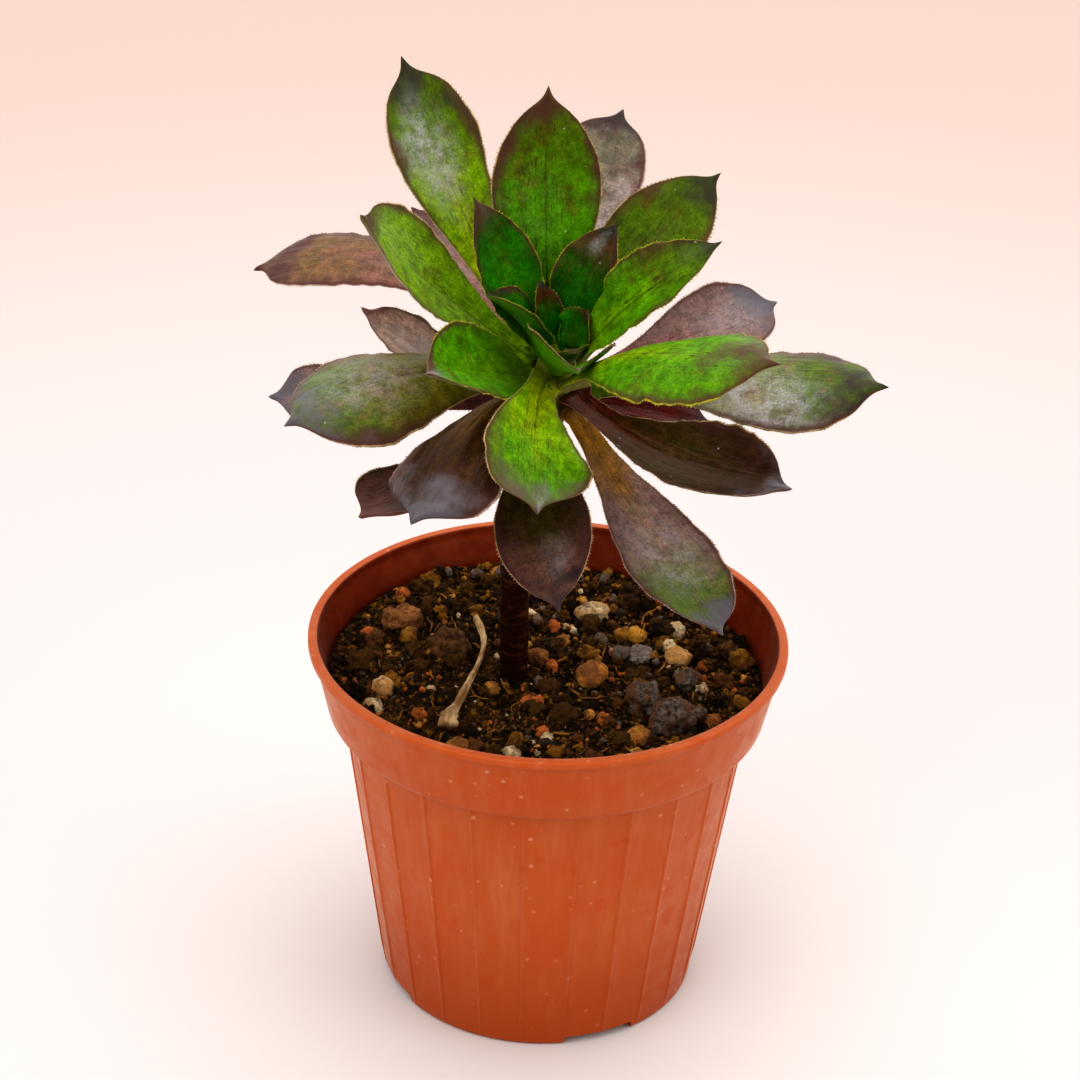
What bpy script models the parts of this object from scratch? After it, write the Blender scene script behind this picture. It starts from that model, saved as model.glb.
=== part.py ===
"""A young tree aeonium in a small plastic nursery pot. Every leaf, stone and the pot itself is its own solid.

Metres, +Z up. The origin is the centre of the pot's underside, on the surface that it stands on,
and +Y runs to the back of the plant.
"""

import math
from collections import namedtuple

import bmesh
import bpy
from mathutils import Matrix, Vector, noise

GAP = 0.0003  # left between pieces that touch
WELD = 0.000001  # points this close are one point
SHARP_ANGLE = math.radians(40)

# Colour and roughness of each material.
TERRACOTTA = ((0.60, 0.15, 0.05), 0.42)
POTTING_SOIL = ((0.06, 0.035, 0.02), 0.95)
STRAW = ((0.42, 0.33, 0.20), 0.80)
BARK = ((0.10, 0.035, 0.02), 0.75)
BUD_GREEN = ((0.05, 0.30, 0.03), 0.50)
YOUNG_LEAF = Vector((0.08, 0.33, 0.03))
OLD_LEAF = Vector((0.14, 0.05, 0.06))
LEAF_ROUGHNESS = 0.45
STONE_ROUGHNESS = 0.90

# Pot: a thin turned shell with a rolled lip, a stepped collar and a slightly tapered body.
LIP_RADIUS = 0.045
LIP_HEIGHT = 0.0016
POT_HEIGHT = 0.073
COLLAR_TOP_RADIUS = 0.0441
COLLAR_FOOT_RADIUS = 0.0412
COLLAR_FOOT_Z = 0.0585
BODY_TOP_RADIUS = 0.0383
FOOT_RADIUS = 0.0301
WALL = 0.0010
FLOOR_Z = 0.0020  # underside of the floor, above the foot ring
FOOT_RING_WIDTH = 0.0024
HUB_RADIUS = 0.0075
RIBS = 24
RIB_HEIGHT = 0.00022
RIB_HALF_ANGLE = math.radians(0.9)
RIB_TURN = math.radians(10)  # the first rib, counted from +X
RIB_FOOT_Z = 0.0012
RIB_TOP_Z = COLLAR_FOOT_Z + 0.0001
ROUND_OFF = 0.0004  # of the shell's edges
NOTCHES = 4
NOTCH_TURN = math.radians(24)
NOTCH_WIDTH = 0.014
SLOT_LENGTH = 0.0090
SLOT_WIDTH = 0.0034
SLOT_RADIUS = 0.0185

# Soil: it fills the pot to a little under the lip, lower at the right than at the back left.
SOIL_Z = 0.0640
SOIL_SLOPE = (-0.040, 0.030)  # rise for each metre along X and Y
SOIL_ROUGHNESS = 0.0011
SOIL_GRAIN = 0.0065
SOIL_OCTAVES = 3
OCTAVE_FALL = 0.9
SOIL_SEED_Z = 0.31
SOIL_SIDES = 48
SOIL_RINGS = 11
SOCKET_SIDES = 16

# Stem: upright from the soil, then leaning into the head, which tips towards the front.
STEM_FOOT = Vector((-0.0063, -0.0007, 0.040))
STEM_RADIUS = 0.0026
STEM_BURIED_Z = 0.066
STEM_BENDS = (
    Vector((-0.0066, -0.0006, 0.0850)), Vector((-0.0066, 0.0004, 0.0990)), Vector((-0.0050, 0.0014, 0.1090)),
)
STEM_KNOTS = 3  # every third ring of the bare stem is a swollen leaf joint
KNOT_SWELL = 0.035
HEAD = Vector((0.0003, -0.0060, 0.1345))  # the growing point that the leaves surround
HEAD_FORWARD = math.radians(22)
HEAD_RIGHT = math.radians(6)
# Radius of the crown at each drop below the growing point.
CROWN = (
    (0.0000, 0.0004), (0.0004, 0.0014), (0.0012, 0.0023), (0.0025, 0.0031), (0.0045, 0.0037),
    (0.0070, 0.0039), (0.0100, 0.0038), (0.0130, 0.0035), (0.0160, 0.0031), (0.0190, 0.0028),
)

# Leaves, from the newest down. turn, rises, sweep and roll are in degrees round the head: turn 0 is the
# right and 90 the back, a rise is above the head's own plane, drop is how far down the crown it grows,
# sweep bends it sideways, roll tips it about its midrib, cup is how far its edges curl up and belly is
# where it is widest, as a share of its length.
Leaf = namedtuple("Leaf", "turn drop length width rise tip_rise sweep roll cup belly")
LEAVES = (
    Leaf(292, 0.0004, 0.0070, 0.0070, 70, 56, 0, 0, 0.32, 0.55),
    Leaf(44, 0.0008, 0.0086, 0.0084, 82, 64, -10, 0, 0.36, 0.55),
    Leaf(133, 0.0010, 0.0128, 0.0060, 88, 32, -18, 14, 0.20, 0.55),
    Leaf(185, 0.0015, 0.0190, 0.0104, 79, 25, -6, 24, 0.58, 0.53),
    Leaf(351, 0.0020, 0.0380, 0.0148, 76, 36, 30, 6, 0.40, 0.53),
    Leaf(262, 0.0022, 0.0236, 0.0158, 56, 42, 32, -14, 0.80, 0.56),
    Leaf(151, 0.0026, 0.0320, 0.0130, 52, 59, -10, -9, 0.45, 0.52),
    Leaf(72, 0.0032, 0.0262, 0.0120, 76, 54, -30, 0, 0.36, 0.53),
    Leaf(251, 0.0038, 0.0392, 0.0214, 46, -28, 31, -24, 0.13, 0.77),
    Leaf(109, 0.0044, 0.0478, 0.0196, 58, 62, -9, -8, 0.18, 0.62),
    Leaf(291, 0.0050, 0.0640, 0.0204, 67, 25, 41, 6, -0.30, 0.69),
    Leaf(216, 0.0056, 0.0394, 0.0168, 38, 37, 23, -18, 0.40, 0.52),
    Leaf(160, 0.0058, 0.0470, 0.0188, 23, 61, 38, -5, 0.30, 0.68),
    Leaf(60, 0.0064, 0.0438, 0.0184, 30, 31, -20, 3, 0.14, 0.60),
    Leaf(131, 0.0074, 0.0598, 0.0180, 27, 45, -5, 0, 0.15, 0.72),
    Leaf(311, 0.0080, 0.0490, 0.0186, 3, 28, 25, -1, 0.45, 0.67),
    Leaf(191, 0.0082, 0.0486, 0.0230, 25, -16, 27, 6, -0.30, 0.66),
    Leaf(1, 0.0086, 0.0559, 0.0214, 16, 17, -18, -3, -0.30, 0.70),
    Leaf(137, 0.0096, 0.0625, 0.0170, 26, -40, 37, 6, -0.05, 0.74),
    Leaf(313, 0.0104, 0.0557, 0.0184, -34, 23, -21, -6, 0.20, 0.65),
    Leaf(230, 0.0108, 0.0483, 0.0230, 57, -38, 19, 27, -0.30, 0.79),
    Leaf(32, 0.0114, 0.0474, 0.0152, 5, -8, 7, 11, 0.27, 0.71),
    Leaf(122, 0.0118, 0.0450, 0.0140, 14, -6, 6, 0, 0.15, 0.70),
    Leaf(172, 0.0127, 0.0346, 0.0140, -4, 31, -17, 14, 0.25, 0.68),
    Leaf(87, 0.0132, 0.0600, 0.0168, 27, 4, -14, 2, 0.16, 0.72),
    Leaf(263, 0.0136, 0.0451, 0.0170, 5, -4, 22, 13, 0.27, 0.64),
    Leaf(183, 0.0144, 0.0469, 0.0140, -7, 1, 1, -3, 0.21, 0.80),
    Leaf(18, 0.0152, 0.0318, 0.0150, -16, -27, 0, 0, 0.20, 0.70),
    Leaf(229, 0.0158, 0.0448, 0.0160, -5, 20, -6, 19, 0.36, 0.75),
)
LEAF_SIDES = 8
# Share of the half width at each share of the length, from the base to the tip, for this belly.
LEAF_BELLY = 0.70
LEAF_OUTLINE = (
    (0.000, 0.00), (0.015, 0.24), (0.080, 0.27), (0.200, 0.29), (0.320, 0.42), (0.440, 0.65),
    (0.550, 0.86), (0.650, 0.98), (0.740, 0.99), (0.820, 0.86), (0.890, 0.61), (0.945, 0.30),
    (0.980, 0.11), (1.000, 0.00),
)
LEAF_BASE_THICKNESS = 0.0015
LEAF_TIP_THICKNESS = 0.0009
LEAF_SUBSTEPS = 5  # steps of the bent midrib between two rings
BUD_LENGTH = 0.0060
BUD_RADIUS = 0.0014
BUD_TAPER = 0.45
BUD_LIFT = GAP + 0.0004  # above the growing point

# Stones and clods on the soil: place of the centre, then width, depth and height.
STONE_LUMPS = 0.16  # how uneven, as a share of the size
LUMP_SPACING = 1.3
STONE_SEED = 900
STONE_LIFT = 0.12  # how far the centre is above the soil, as a share of the height
Stone = namedtuple("Stone", "name x y width depth height turn colour")
LAVA, PUMICE, CLAY, CLOD = (0.09, 0.08, 0.075), (0.55, 0.47, 0.36), (0.50, 0.22, 0.06), (0.12, 0.075, 0.04)
STONES = (
    Stone("lava_stone_1", 0.0241, -0.0144, 0.0100, 0.0092, 0.0084, 20, LAVA),
    Stone("lava_stone_2", 0.0178, -0.0077, 0.0078, 0.0070, 0.0060, 70, LAVA),
    Stone("lava_stone_3", 0.0264, -0.0006, 0.0056, 0.0052, 0.0050, 0, LAVA),
    Stone("pumice_1", 0.0176, 0.0078, 0.0054, 0.0050, 0.0046, 40, PUMICE),
    Stone("pumice_2", 0.0249, 0.0074, 0.0052, 0.0048, 0.0042, 10, PUMICE),
    Stone("pumice_3", 0.0084, 0.0219, 0.0070, 0.0050, 0.0042, 15, PUMICE),
    Stone("pumice_4", -0.0304, -0.0095, 0.0042, 0.0040, 0.0040, 0, PUMICE),
    Stone("pumice_5", 0.0247, 0.0179, 0.0050, 0.0040, 0.0036, 65, PUMICE),
    Stone("pumice_6", -0.0319, -0.0156, 0.0050, 0.0036, 0.0034, 120, PUMICE),
    Stone("clay_grain_1", 0.0085, -0.0007, 0.0072, 0.0060, 0.0050, 60, CLAY),
    Stone("clay_grain_2", -0.0159, -0.0282, 0.0052, 0.0044, 0.0042, 30, CLAY),
    Stone("clay_grain_3", 0.0170, -0.0194, 0.0062, 0.0044, 0.0040, 80, CLAY),
    Stone("clay_grain_4", 0.0308, -0.0133, 0.0046, 0.0036, 0.0034, 35, CLAY),
    Stone("clay_grain_5", 0.0167, 0.0143, 0.0046, 0.0040, 0.0038, 25, CLAY),
    Stone("clay_grain_6", -0.0020, 0.0056, 0.0046, 0.0038, 0.0034, 10, CLAY),
    Stone("clod_1", -0.0188, 0.0064, 0.0086, 0.0090, 0.0066, 50, CLOD),
    Stone("clod_2", -0.0279, 0.0144, 0.0084, 0.0070, 0.0056, 15, CLOD),
    Stone("clod_3", 0.0348, 0.0117, 0.0048, 0.0044, 0.0040, 0, CLOD),
)

# Dry stalk: an old leaf stalk that lies on the soil, thick at its front end. Place and radius.
DRY_STALK_ROUTE = (
    (-0.0179, -0.0232, 0.00130), (-0.0178, -0.0196, 0.00120), (-0.0165, -0.0154, 0.00090),
    (-0.0153, -0.0103, 0.00075), (-0.0141, -0.0052, 0.00070), (-0.0129, 0.0003, 0.00065),
    (-0.0122, 0.0053, 0.00060), (-0.0126, 0.0107, 0.00060), (-0.0143, 0.0165, 0.00055),
)
STALK_LIFT = 3 * GAP


def material(name, colour, roughness):
    made = bpy.data.materials.new(name)
    made.use_nodes = True
    shader = made.node_tree.nodes["Principled BSDF"]
    shader.inputs["Base Color"].default_value = (*colour, 1)
    shader.inputs["Roughness"].default_value = roughness
    shader.inputs["Metallic"].default_value = 0
    made.diffuse_color = (*colour, 1)
    return made


def add_object(name, mesh, finish, collection):
    """A named object holding this mesh, shaded smooth except at its hard edges."""
    obj = bpy.data.objects.new(name, mesh)
    mesh.materials.append(finish)
    mesh.shade_smooth()
    mesh.set_sharp_from_angle(angle=SHARP_ANGLE)
    collection.objects.link(obj)
    return obj


def mesh_from(bm, name):
    """The closed body as a mesh, with its faces pointing out."""
    mesh = bpy.data.meshes.new(name)
    bmesh.ops.recalc_face_normals(bm, faces=bm.faces)
    if bm.calc_volume(signed=True) < 0:
        bmesh.ops.reverse_faces(bm, faces=bm.faces)
    bm.to_mesh(mesh)
    bm.free()
    return mesh


def turned_mesh(name, profile, steps):
    """A closed profile of (radius, z) points, turned round Z with a Screw modifier and made a mesh."""
    bm = bmesh.new()
    points = [bm.verts.new((radius, 0, z)) for radius, z in profile]
    for start, end in zip(points, points[1:]):
        bm.edges.new((start, end))
    if profile[0][0] > 0:
        bm.edges.new((points[-1], points[0]))
    guide = bpy.data.objects.new(name, bpy.data.meshes.new(name))
    bm.to_mesh(guide.data)
    bm.free()
    bpy.context.scene.collection.objects.link(guide)
    screw = guide.modifiers.new("turn", "SCREW")
    screw.steps = steps
    screw.render_steps = steps
    screw.use_merge_vertices = True
    screw.merge_threshold = 10 * WELD
    graph = bpy.context.evaluated_depsgraph_get()
    mesh = bpy.data.meshes.new_from_object(guide.evaluated_get(graph))
    bpy.data.objects.remove(guide)
    return mesh


def cut(obj, cutters):
    """Takes each cutter away from the object."""
    for cutter in cutters:
        boolean = obj.modifiers.new(f"cut {cutter.name}", "BOOLEAN")
        boolean.operation = "DIFFERENCE"
        boolean.object = cutter


def add_cutter(name, mesh, collection):
    obj = bpy.data.objects.new(name, mesh)
    obj.hide_render = True
    obj.display_type = "WIRE"
    collection.objects.link(obj)
    return obj


def box_mesh(name, size, turn, centre):
    bm = bmesh.new()
    bmesh.ops.create_cube(bm, size=1)
    place = Matrix.Rotation(turn, 4, "Z") @ Matrix.Translation(centre) @ Matrix.Diagonal((*size, 1))
    bmesh.ops.transform(bm, matrix=place, verts=bm.verts)
    return mesh_from(bm, name)


# ---- Pot ----


def wall_radius(z):
    """Outer radius of the tapered body at a height."""
    return FOOT_RADIUS + (BODY_TOP_RADIUS - FOOT_RADIUS) * z / COLLAR_FOOT_Z


def inner_radius(z):
    """Inner radius of the pot at a height: the collar above its step, the body below it."""
    if z < COLLAR_FOOT_Z + WALL:
        return wall_radius(z) - WALL
    share = (z - COLLAR_FOOT_Z) / (POT_HEIGHT - LIP_HEIGHT - COLLAR_FOOT_Z)
    return COLLAR_FOOT_RADIUS + (COLLAR_TOP_RADIUS - COLLAR_FOOT_RADIUS) * min(share, 1) - WALL


def pot_profile():
    """The shell's section as (radius, z), down the outside and up the inside."""
    lip_foot = POT_HEIGHT - LIP_HEIGHT
    step = COLLAR_FOOT_Z + WALL
    return [
        (LIP_RADIUS - ROUND_OFF, POT_HEIGHT),
        (LIP_RADIUS, POT_HEIGHT - ROUND_OFF),
        (LIP_RADIUS, lip_foot),
        (COLLAR_TOP_RADIUS, lip_foot - ROUND_OFF),
        (COLLAR_FOOT_RADIUS, COLLAR_FOOT_Z + ROUND_OFF),
        (COLLAR_FOOT_RADIUS - ROUND_OFF, COLLAR_FOOT_Z),
        (BODY_TOP_RADIUS, COLLAR_FOOT_Z),
        (wall_radius(2 * ROUND_OFF), 2 * ROUND_OFF),
        (FOOT_RADIUS - ROUND_OFF, 0),
        (FOOT_RADIUS - FOOT_RING_WIDTH, 0),
        (FOOT_RADIUS - FOOT_RING_WIDTH, FLOOR_Z),
        (HUB_RADIUS, FLOOR_Z),
        (HUB_RADIUS, 0),
        (0, 0),
    ], [
        (0, FLOOR_Z + WALL),
        (inner_radius(FLOOR_Z + WALL), FLOOR_Z + WALL),
        (inner_radius(COLLAR_FOOT_Z), step),
        (COLLAR_FOOT_RADIUS - WALL - ROUND_OFF, step),
        (inner_radius(step + ROUND_OFF), step + ROUND_OFF),
        (inner_radius(lip_foot), lip_foot),
        (inner_radius(lip_foot), POT_HEIGHT - ROUND_OFF),
        (inner_radius(lip_foot) + ROUND_OFF, POT_HEIGHT),
    ]


def add_ribs(mesh):
    """Turns the body's plain wall into flat panels with a fine raised rib between each pair."""
    panel = 2 * math.pi / RIBS
    for vertex in mesh.vertices:
        radius = math.hypot(vertex.co.x, vertex.co.y)
        if radius < WELD:
            continue
        angle = math.atan2(vertex.co.y, vertex.co.x)
        step = round(angle / (panel / 4))
        offset = (0, RIB_HALF_ANGLE, panel / 2, panel - RIB_HALF_ANGLE)[step % 4]
        angle = (step // 4) * panel + offset + RIB_TURN
        outside = radius > wall_radius(vertex.co.z) - WALL / 2 and RIB_FOOT_Z < vertex.co.z < RIB_TOP_Z
        if step % 4 == 0 and outside and radius < BODY_TOP_RADIUS + WALL / 2:
            radius += RIB_HEIGHT
        vertex.co.x = radius * math.cos(angle)
        vertex.co.y = radius * math.sin(angle)


def add_pot(parts, cutters):
    outside, inside = pot_profile()
    mesh = turned_mesh("pot", outside + inside, steps=4 * RIBS)
    add_ribs(mesh)
    pot = add_object("pot", mesh, material("terracotta plastic", *TERRACOTTA), parts)
    for number in range(NOTCHES):
        turn = NOTCH_TURN + 2 * math.pi * number / NOTCHES
        notch = box_mesh(
            f"foot notch {number + 1}",
            (3 * FOOT_RING_WIDTH, NOTCH_WIDTH, 2 * FLOOR_Z - GAP),
            turn,
            (FOOT_RADIUS, 0, 0),
        )
        slot = box_mesh(
            f"drain slot {number + 1}",
            (SLOT_WIDTH, SLOT_LENGTH, 4 * WALL),
            turn,
            (SLOT_RADIUS, 0, FLOOR_Z + WALL / 2),
        )
        cut(pot, [add_cutter(mesh.name, mesh, cutters) for mesh in (notch, slot)])


# ---- Soil, stones and the dry stalk ----


def soil_height(x, y):
    """Height of the uneven soil surface."""
    bumps = noise.fractal(Vector((x, y, SOIL_SEED_Z)) / SOIL_GRAIN, OCTAVE_FALL, 2, SOIL_OCTAVES)
    return SOIL_Z + SOIL_SLOPE[0] * x + SOIL_SLOPE[1] * y + SOIL_ROUGHNESS * bumps


def stone_mesh(stone, swell=0):
    """A rounded lump, half sunk in the soil. swell makes it that much bigger all round."""
    bm = bmesh.new()
    bmesh.ops.create_icosphere(bm, subdivisions=2, radius=1)
    seed = Vector((stone.x, stone.y, stone.height)) * STONE_SEED
    for vertex in bm.verts:
        vertex.co *= 1 + STONE_LUMPS * noise.noise(vertex.co * LUMP_SPACING + seed)
    size = (stone.width / 2 + swell, stone.depth / 2 + swell, stone.height / 2 + swell, 1)
    centre = (stone.x, stone.y, soil_height(stone.x, stone.y) + STONE_LIFT * stone.height)
    place = (
        Matrix.Translation(centre) @ Matrix.Rotation(math.radians(stone.turn), 4, "Z") @ Matrix.Diagonal(size)
    )
    bmesh.ops.transform(bm, matrix=place, verts=bm.verts)
    return mesh_from(bm, stone.name)


def add_stones(parts, cutters):
    """The stones, and a cutter for the hollow that each one sits in."""
    hollows = []
    for stone in STONES:
        rock = material(stone.name, stone.colour, STONE_ROUGHNESS)
        add_object(stone.name, stone_mesh(stone), rock, parts)
        hollow = stone_mesh(stone, swell=GAP)
        hollows.append(add_cutter(f"hollow of {stone.name}", hollow, cutters))
    return hollows


def add_soil(parts, cutters):
    """The root ball: it fills the pot up to the uneven surface, with a socket for the stem."""
    low = FLOOR_Z + WALL + GAP
    step = COLLAR_FOOT_Z + WALL + GAP
    edge = inner_radius(SOIL_Z) - 2 * GAP
    side = [
        (edge, SOIL_Z),
        (inner_radius(step) - 3 * GAP, step),
        (inner_radius(COLLAR_FOOT_Z) - GAP, step),
        (inner_radius(low) - GAP, low),
        (0, low),
    ]
    top = [(edge * ring / SOIL_RINGS, SOIL_Z) for ring in range(SOIL_RINGS)]
    mesh = turned_mesh("soil", top + side, steps=SOIL_SIDES)
    for vertex in mesh.vertices:
        if vertex.co.z > SOIL_Z - GAP:
            vertex.co.z = soil_height(vertex.co.x, vertex.co.y)
    soil = add_object("soil", mesh, material("potting soil", *POTTING_SOIL), parts)
    socket = bmesh.new()
    depth = 2 * (SOIL_Z - STEM_FOOT.z + 2 * GAP)
    bmesh.ops.create_cone(
        socket,
        cap_ends=True,
        segments=SOCKET_SIDES,
        radius1=STEM_RADIUS + 2 * GAP,
        radius2=STEM_RADIUS + 2 * GAP,
        depth=depth,
        matrix=Matrix.Translation((STEM_FOOT.x, STEM_FOOT.y, STEM_FOOT.z - 2 * GAP + depth / 2)),
    )
    hollows = [add_cutter("stem socket", mesh_from(socket, "stem socket"), cutters)]
    cut(soil, hollows + add_stones(parts, cutters))


def add_tube(name, points, radii, finish, collection, resolution):
    """A round tube along the points, made a mesh with its caps welded."""
    curve = bpy.data.curves.new(name, "CURVE")
    curve.dimensions = "3D"
    curve.bevel_depth = 1
    curve.bevel_resolution = resolution
    curve.use_fill_caps = True
    spline = curve.splines.new("POLY")
    spline.points.add(len(points) - 1)
    for place, point, radius in zip(spline.points, points, radii):
        place.co = (*point, 1)
        place.radius = radius
    guide = bpy.data.objects.new(name, curve)
    bpy.context.scene.collection.objects.link(guide)
    graph = bpy.context.evaluated_depsgraph_get()
    tube = bmesh.new()
    tube.from_mesh(bpy.data.meshes.new_from_object(guide.evaluated_get(graph)))
    bmesh.ops.remove_doubles(tube, verts=tube.verts, dist=WELD)
    bpy.data.objects.remove(guide)
    return add_object(name, mesh_from(tube, name), finish, collection)


def smooth_route(points, steps):
    """Points of a Catmull-Rom curve through these points, this many to each stretch."""
    padded = [2 * points[0] - points[1], *points, 2 * points[-1] - points[-2]]
    route = []
    for a, b, c, d in zip(padded, padded[1:], padded[2:], padded[3:]):
        for step in range(steps):
            t = step / steps
            route.append(
                0.5 * (2 * b + (c - a) * t + (2 * a - 5 * b + 4 * c - d) * t**2 + (3 * b - a - 3 * c + d) * t**3)
            )
    return [*route, points[-1]]


def add_dry_stalk(parts):
    """The stalk, laid a little above the soil."""
    guide = [Vector((x, y, soil_height(x, y) + radius + STALK_LIFT)) for x, y, radius in DRY_STALK_ROUTE]
    route = smooth_route(guide, steps=2)
    radii = [DRY_STALK_ROUTE[index // 2][2] for index in range(len(route))]
    add_tube("dry_stalk", route, radii, material("dry stalk", *STRAW), parts, resolution=2)


# ---- Stem, crown and leaves ----


def head_axes():
    """The head's right, back and up directions."""
    up = Vector(
        (
            math.sin(HEAD_RIGHT),
            -math.sin(HEAD_FORWARD) * math.cos(HEAD_RIGHT),
            math.cos(HEAD_FORWARD) * math.cos(HEAD_RIGHT),
        )
    )
    right = (Vector((1, 0, 0)) - up * up.x).normalized()
    return right, up.cross(right), up


def between(table, at):
    """Linear reading of a table of (place, value) pairs."""
    for (start, low), (end, high) in zip(table, table[1:]):
        if at <= end:
            return low + (high - low) * (at - start) / (end - start)
    return table[-1][1]


def add_stem(parts):
    """One woody stem with its crown: straight in the soil, bent over into the head."""
    _, _, up = head_axes()
    crown = [(HEAD - up * drop, radius) for drop, radius in reversed(CROWN)]
    buried = Vector((STEM_FOOT.x, STEM_FOOT.y, STEM_BURIED_Z))
    bare = smooth_route([STEM_FOOT, buried, *STEM_BENDS, crown[0][0]], steps=STEM_KNOTS)[:-1]
    swell = CROWN[-1][1] / STEM_RADIUS - 1
    radii = []
    for index in range(len(bare)):
        knot = 1 + KNOT_SWELL * (index % STEM_KNOTS == 1)
        radii.append(STEM_RADIUS * knot * (1 + swell * index / len(bare)))
    route = bare + [point for point, _ in crown]
    radii += [radius for _, radius in crown]
    add_tube("stem", route, radii, material("stem bark", *BARK), parts, resolution=3)


def leaf_mesh(leaf, name):
    """A fleshy leaf: a globe whose rings are laid along the leaf's curved midrib, tip at one pole."""
    right, back, up = head_axes()
    thickness = LEAF_BASE_THICKNESS / 2
    start = between(CROWN, leaf.drop) + GAP + thickness * abs(math.sin(math.radians(leaf.rise)))
    turn = math.radians(leaf.turn)
    point = HEAD - up * leaf.drop + start * (math.cos(turn) * right + math.sin(turn) * back)
    stretch = math.log(leaf.belly) / math.log(LEAF_BELLY)
    outline = [(place**stretch, share) for place, share in LEAF_OUTLINE]
    frames = []
    for (before, _), (place, share) in zip(outline[:1] + outline, outline):
        for substep in range(LEAF_SUBSTEPS):
            at = before + (place - before) * (substep + 0.5) / LEAF_SUBSTEPS
            rise = math.radians(leaf.rise + (leaf.tip_rise - leaf.rise) * at)
            heading = math.radians(leaf.turn + leaf.sweep * at)
            outward = math.cos(heading) * right + math.sin(heading) * back
            along = math.cos(rise) * outward + math.sin(rise) * up
            point = point + along * leaf.length * (place - before) / LEAF_SUBSTEPS
        across = math.cos(heading) * back - math.sin(heading) * right
        across = Matrix.Rotation(math.radians(leaf.roll), 3, along) @ across
        frames.append((point, across, along.cross(across), share * leaf.width / 2, place))
    bm = bmesh.new()
    bmesh.ops.create_uvsphere(bm, u_segments=LEAF_SIDES, v_segments=len(frames) - 1, radius=1)
    for vertex in bm.verts:
        ring = round(math.acos(max(-1, min(1, vertex.co.z))) / math.pi * (len(frames) - 1))
        point, across, upper, half_width, place = frames[len(frames) - 1 - ring]
        side = math.atan2(vertex.co.y, vertex.co.x) if half_width else 0
        flesh = LEAF_BASE_THICKNESS + (LEAF_TIP_THICKNESS - LEAF_BASE_THICKNESS) * place
        flesh = min(flesh / 2, half_width)
        curl = leaf.cup * half_width * math.cos(side) ** 2
        vertex.co = point + across * half_width * math.cos(side) + upper * (flesh * math.sin(side) + curl)
    return mesh_from(bm, name)


def add_bud(parts):
    """The folded newest leaves at the growing point, a pointed bud."""
    right, back, up = head_axes()
    bm = bmesh.new()
    bmesh.ops.create_uvsphere(bm, u_segments=10, v_segments=8, radius=1)
    for vertex in bm.verts:
        height = (vertex.co.z + 1) / 2
        radius = BUD_RADIUS * (1 - BUD_TAPER * height)
        spoke = right * vertex.co.x + back * vertex.co.y
        vertex.co = HEAD + up * (BUD_LIFT + BUD_LENGTH * height) + spoke * radius
    add_object("bud", mesh_from(bm, "bud"), material("bud", *BUD_GREEN), parts)


def add_leaves(parts):
    for number, leaf in enumerate(LEAVES, 1):
        colour = YOUNG_LEAF.lerp(OLD_LEAF, number / len(LEAVES))
        name = f"leaf_{number:02d}"
        add_object(name, leaf_mesh(leaf, name), material(name, colour, LEAF_ROUGHNESS), parts)


def main():
    for obj in list(bpy.data.objects):
        bpy.data.objects.remove(obj)
    parts = bpy.data.collections.new("potted_aeonium")
    cutters = bpy.data.collections.new("cutters")
    for collection in (parts, cutters):
        bpy.context.scene.collection.children.link(collection)
    add_pot(parts, cutters)
    add_soil(parts, cutters)
    add_dry_stalk(parts)
    add_stem(parts)
    add_bud(parts)
    add_leaves(parts)


main()
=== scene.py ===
"""Looks of a young tree aeonium in a small plastic nursery pot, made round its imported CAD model.

Metres, +Z up, the back of the plant towards +Y. The sections follow the order in which the plant was potted:
pot, soil, grit, stones, dry stalk, stem, leaves and bud. The camera stands first, the floor and lamps last.
"""

import math
from collections import namedtuple

import bmesh
import bpy
import numpy as np
from mathutils import Matrix, Vector, noise


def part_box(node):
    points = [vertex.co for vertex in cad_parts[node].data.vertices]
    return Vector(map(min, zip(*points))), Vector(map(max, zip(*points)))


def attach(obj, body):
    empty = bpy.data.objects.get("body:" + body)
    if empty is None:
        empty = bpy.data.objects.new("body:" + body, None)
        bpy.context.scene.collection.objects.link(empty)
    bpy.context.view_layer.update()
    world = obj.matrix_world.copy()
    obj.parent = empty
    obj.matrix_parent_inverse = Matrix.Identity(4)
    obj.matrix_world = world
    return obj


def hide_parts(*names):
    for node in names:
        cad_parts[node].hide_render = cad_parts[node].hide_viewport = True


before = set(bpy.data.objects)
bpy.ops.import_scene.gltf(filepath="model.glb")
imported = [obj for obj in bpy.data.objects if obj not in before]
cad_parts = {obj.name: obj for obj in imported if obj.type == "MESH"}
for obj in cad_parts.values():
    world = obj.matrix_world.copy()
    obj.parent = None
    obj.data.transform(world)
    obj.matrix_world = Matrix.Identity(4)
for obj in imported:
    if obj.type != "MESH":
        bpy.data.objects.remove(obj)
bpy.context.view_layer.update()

# ---- Camera ----
# A short telephoto lens on a tripod, above the rim and looking down at the head and into the pot.
# It leans by two degrees, as a hand-levelled tripod does.

VIEW_HEIGHT = math.radians(28.8)
VIEW_LEAN = math.radians(1.92)
VIEW_DISTANCE = 0.600
VIEW_TARGET = Vector((-0.00216, 0, 0.09286))
LENS_MM = 108.5
SENSOR_MM = 36
NEAREST_SEEN = 0.02


def placed(name, data):
    """A new object that holds this data, put in the scene."""
    thing = bpy.data.objects.new(name, data)
    bpy.context.scene.collection.objects.link(thing)
    return thing


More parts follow.
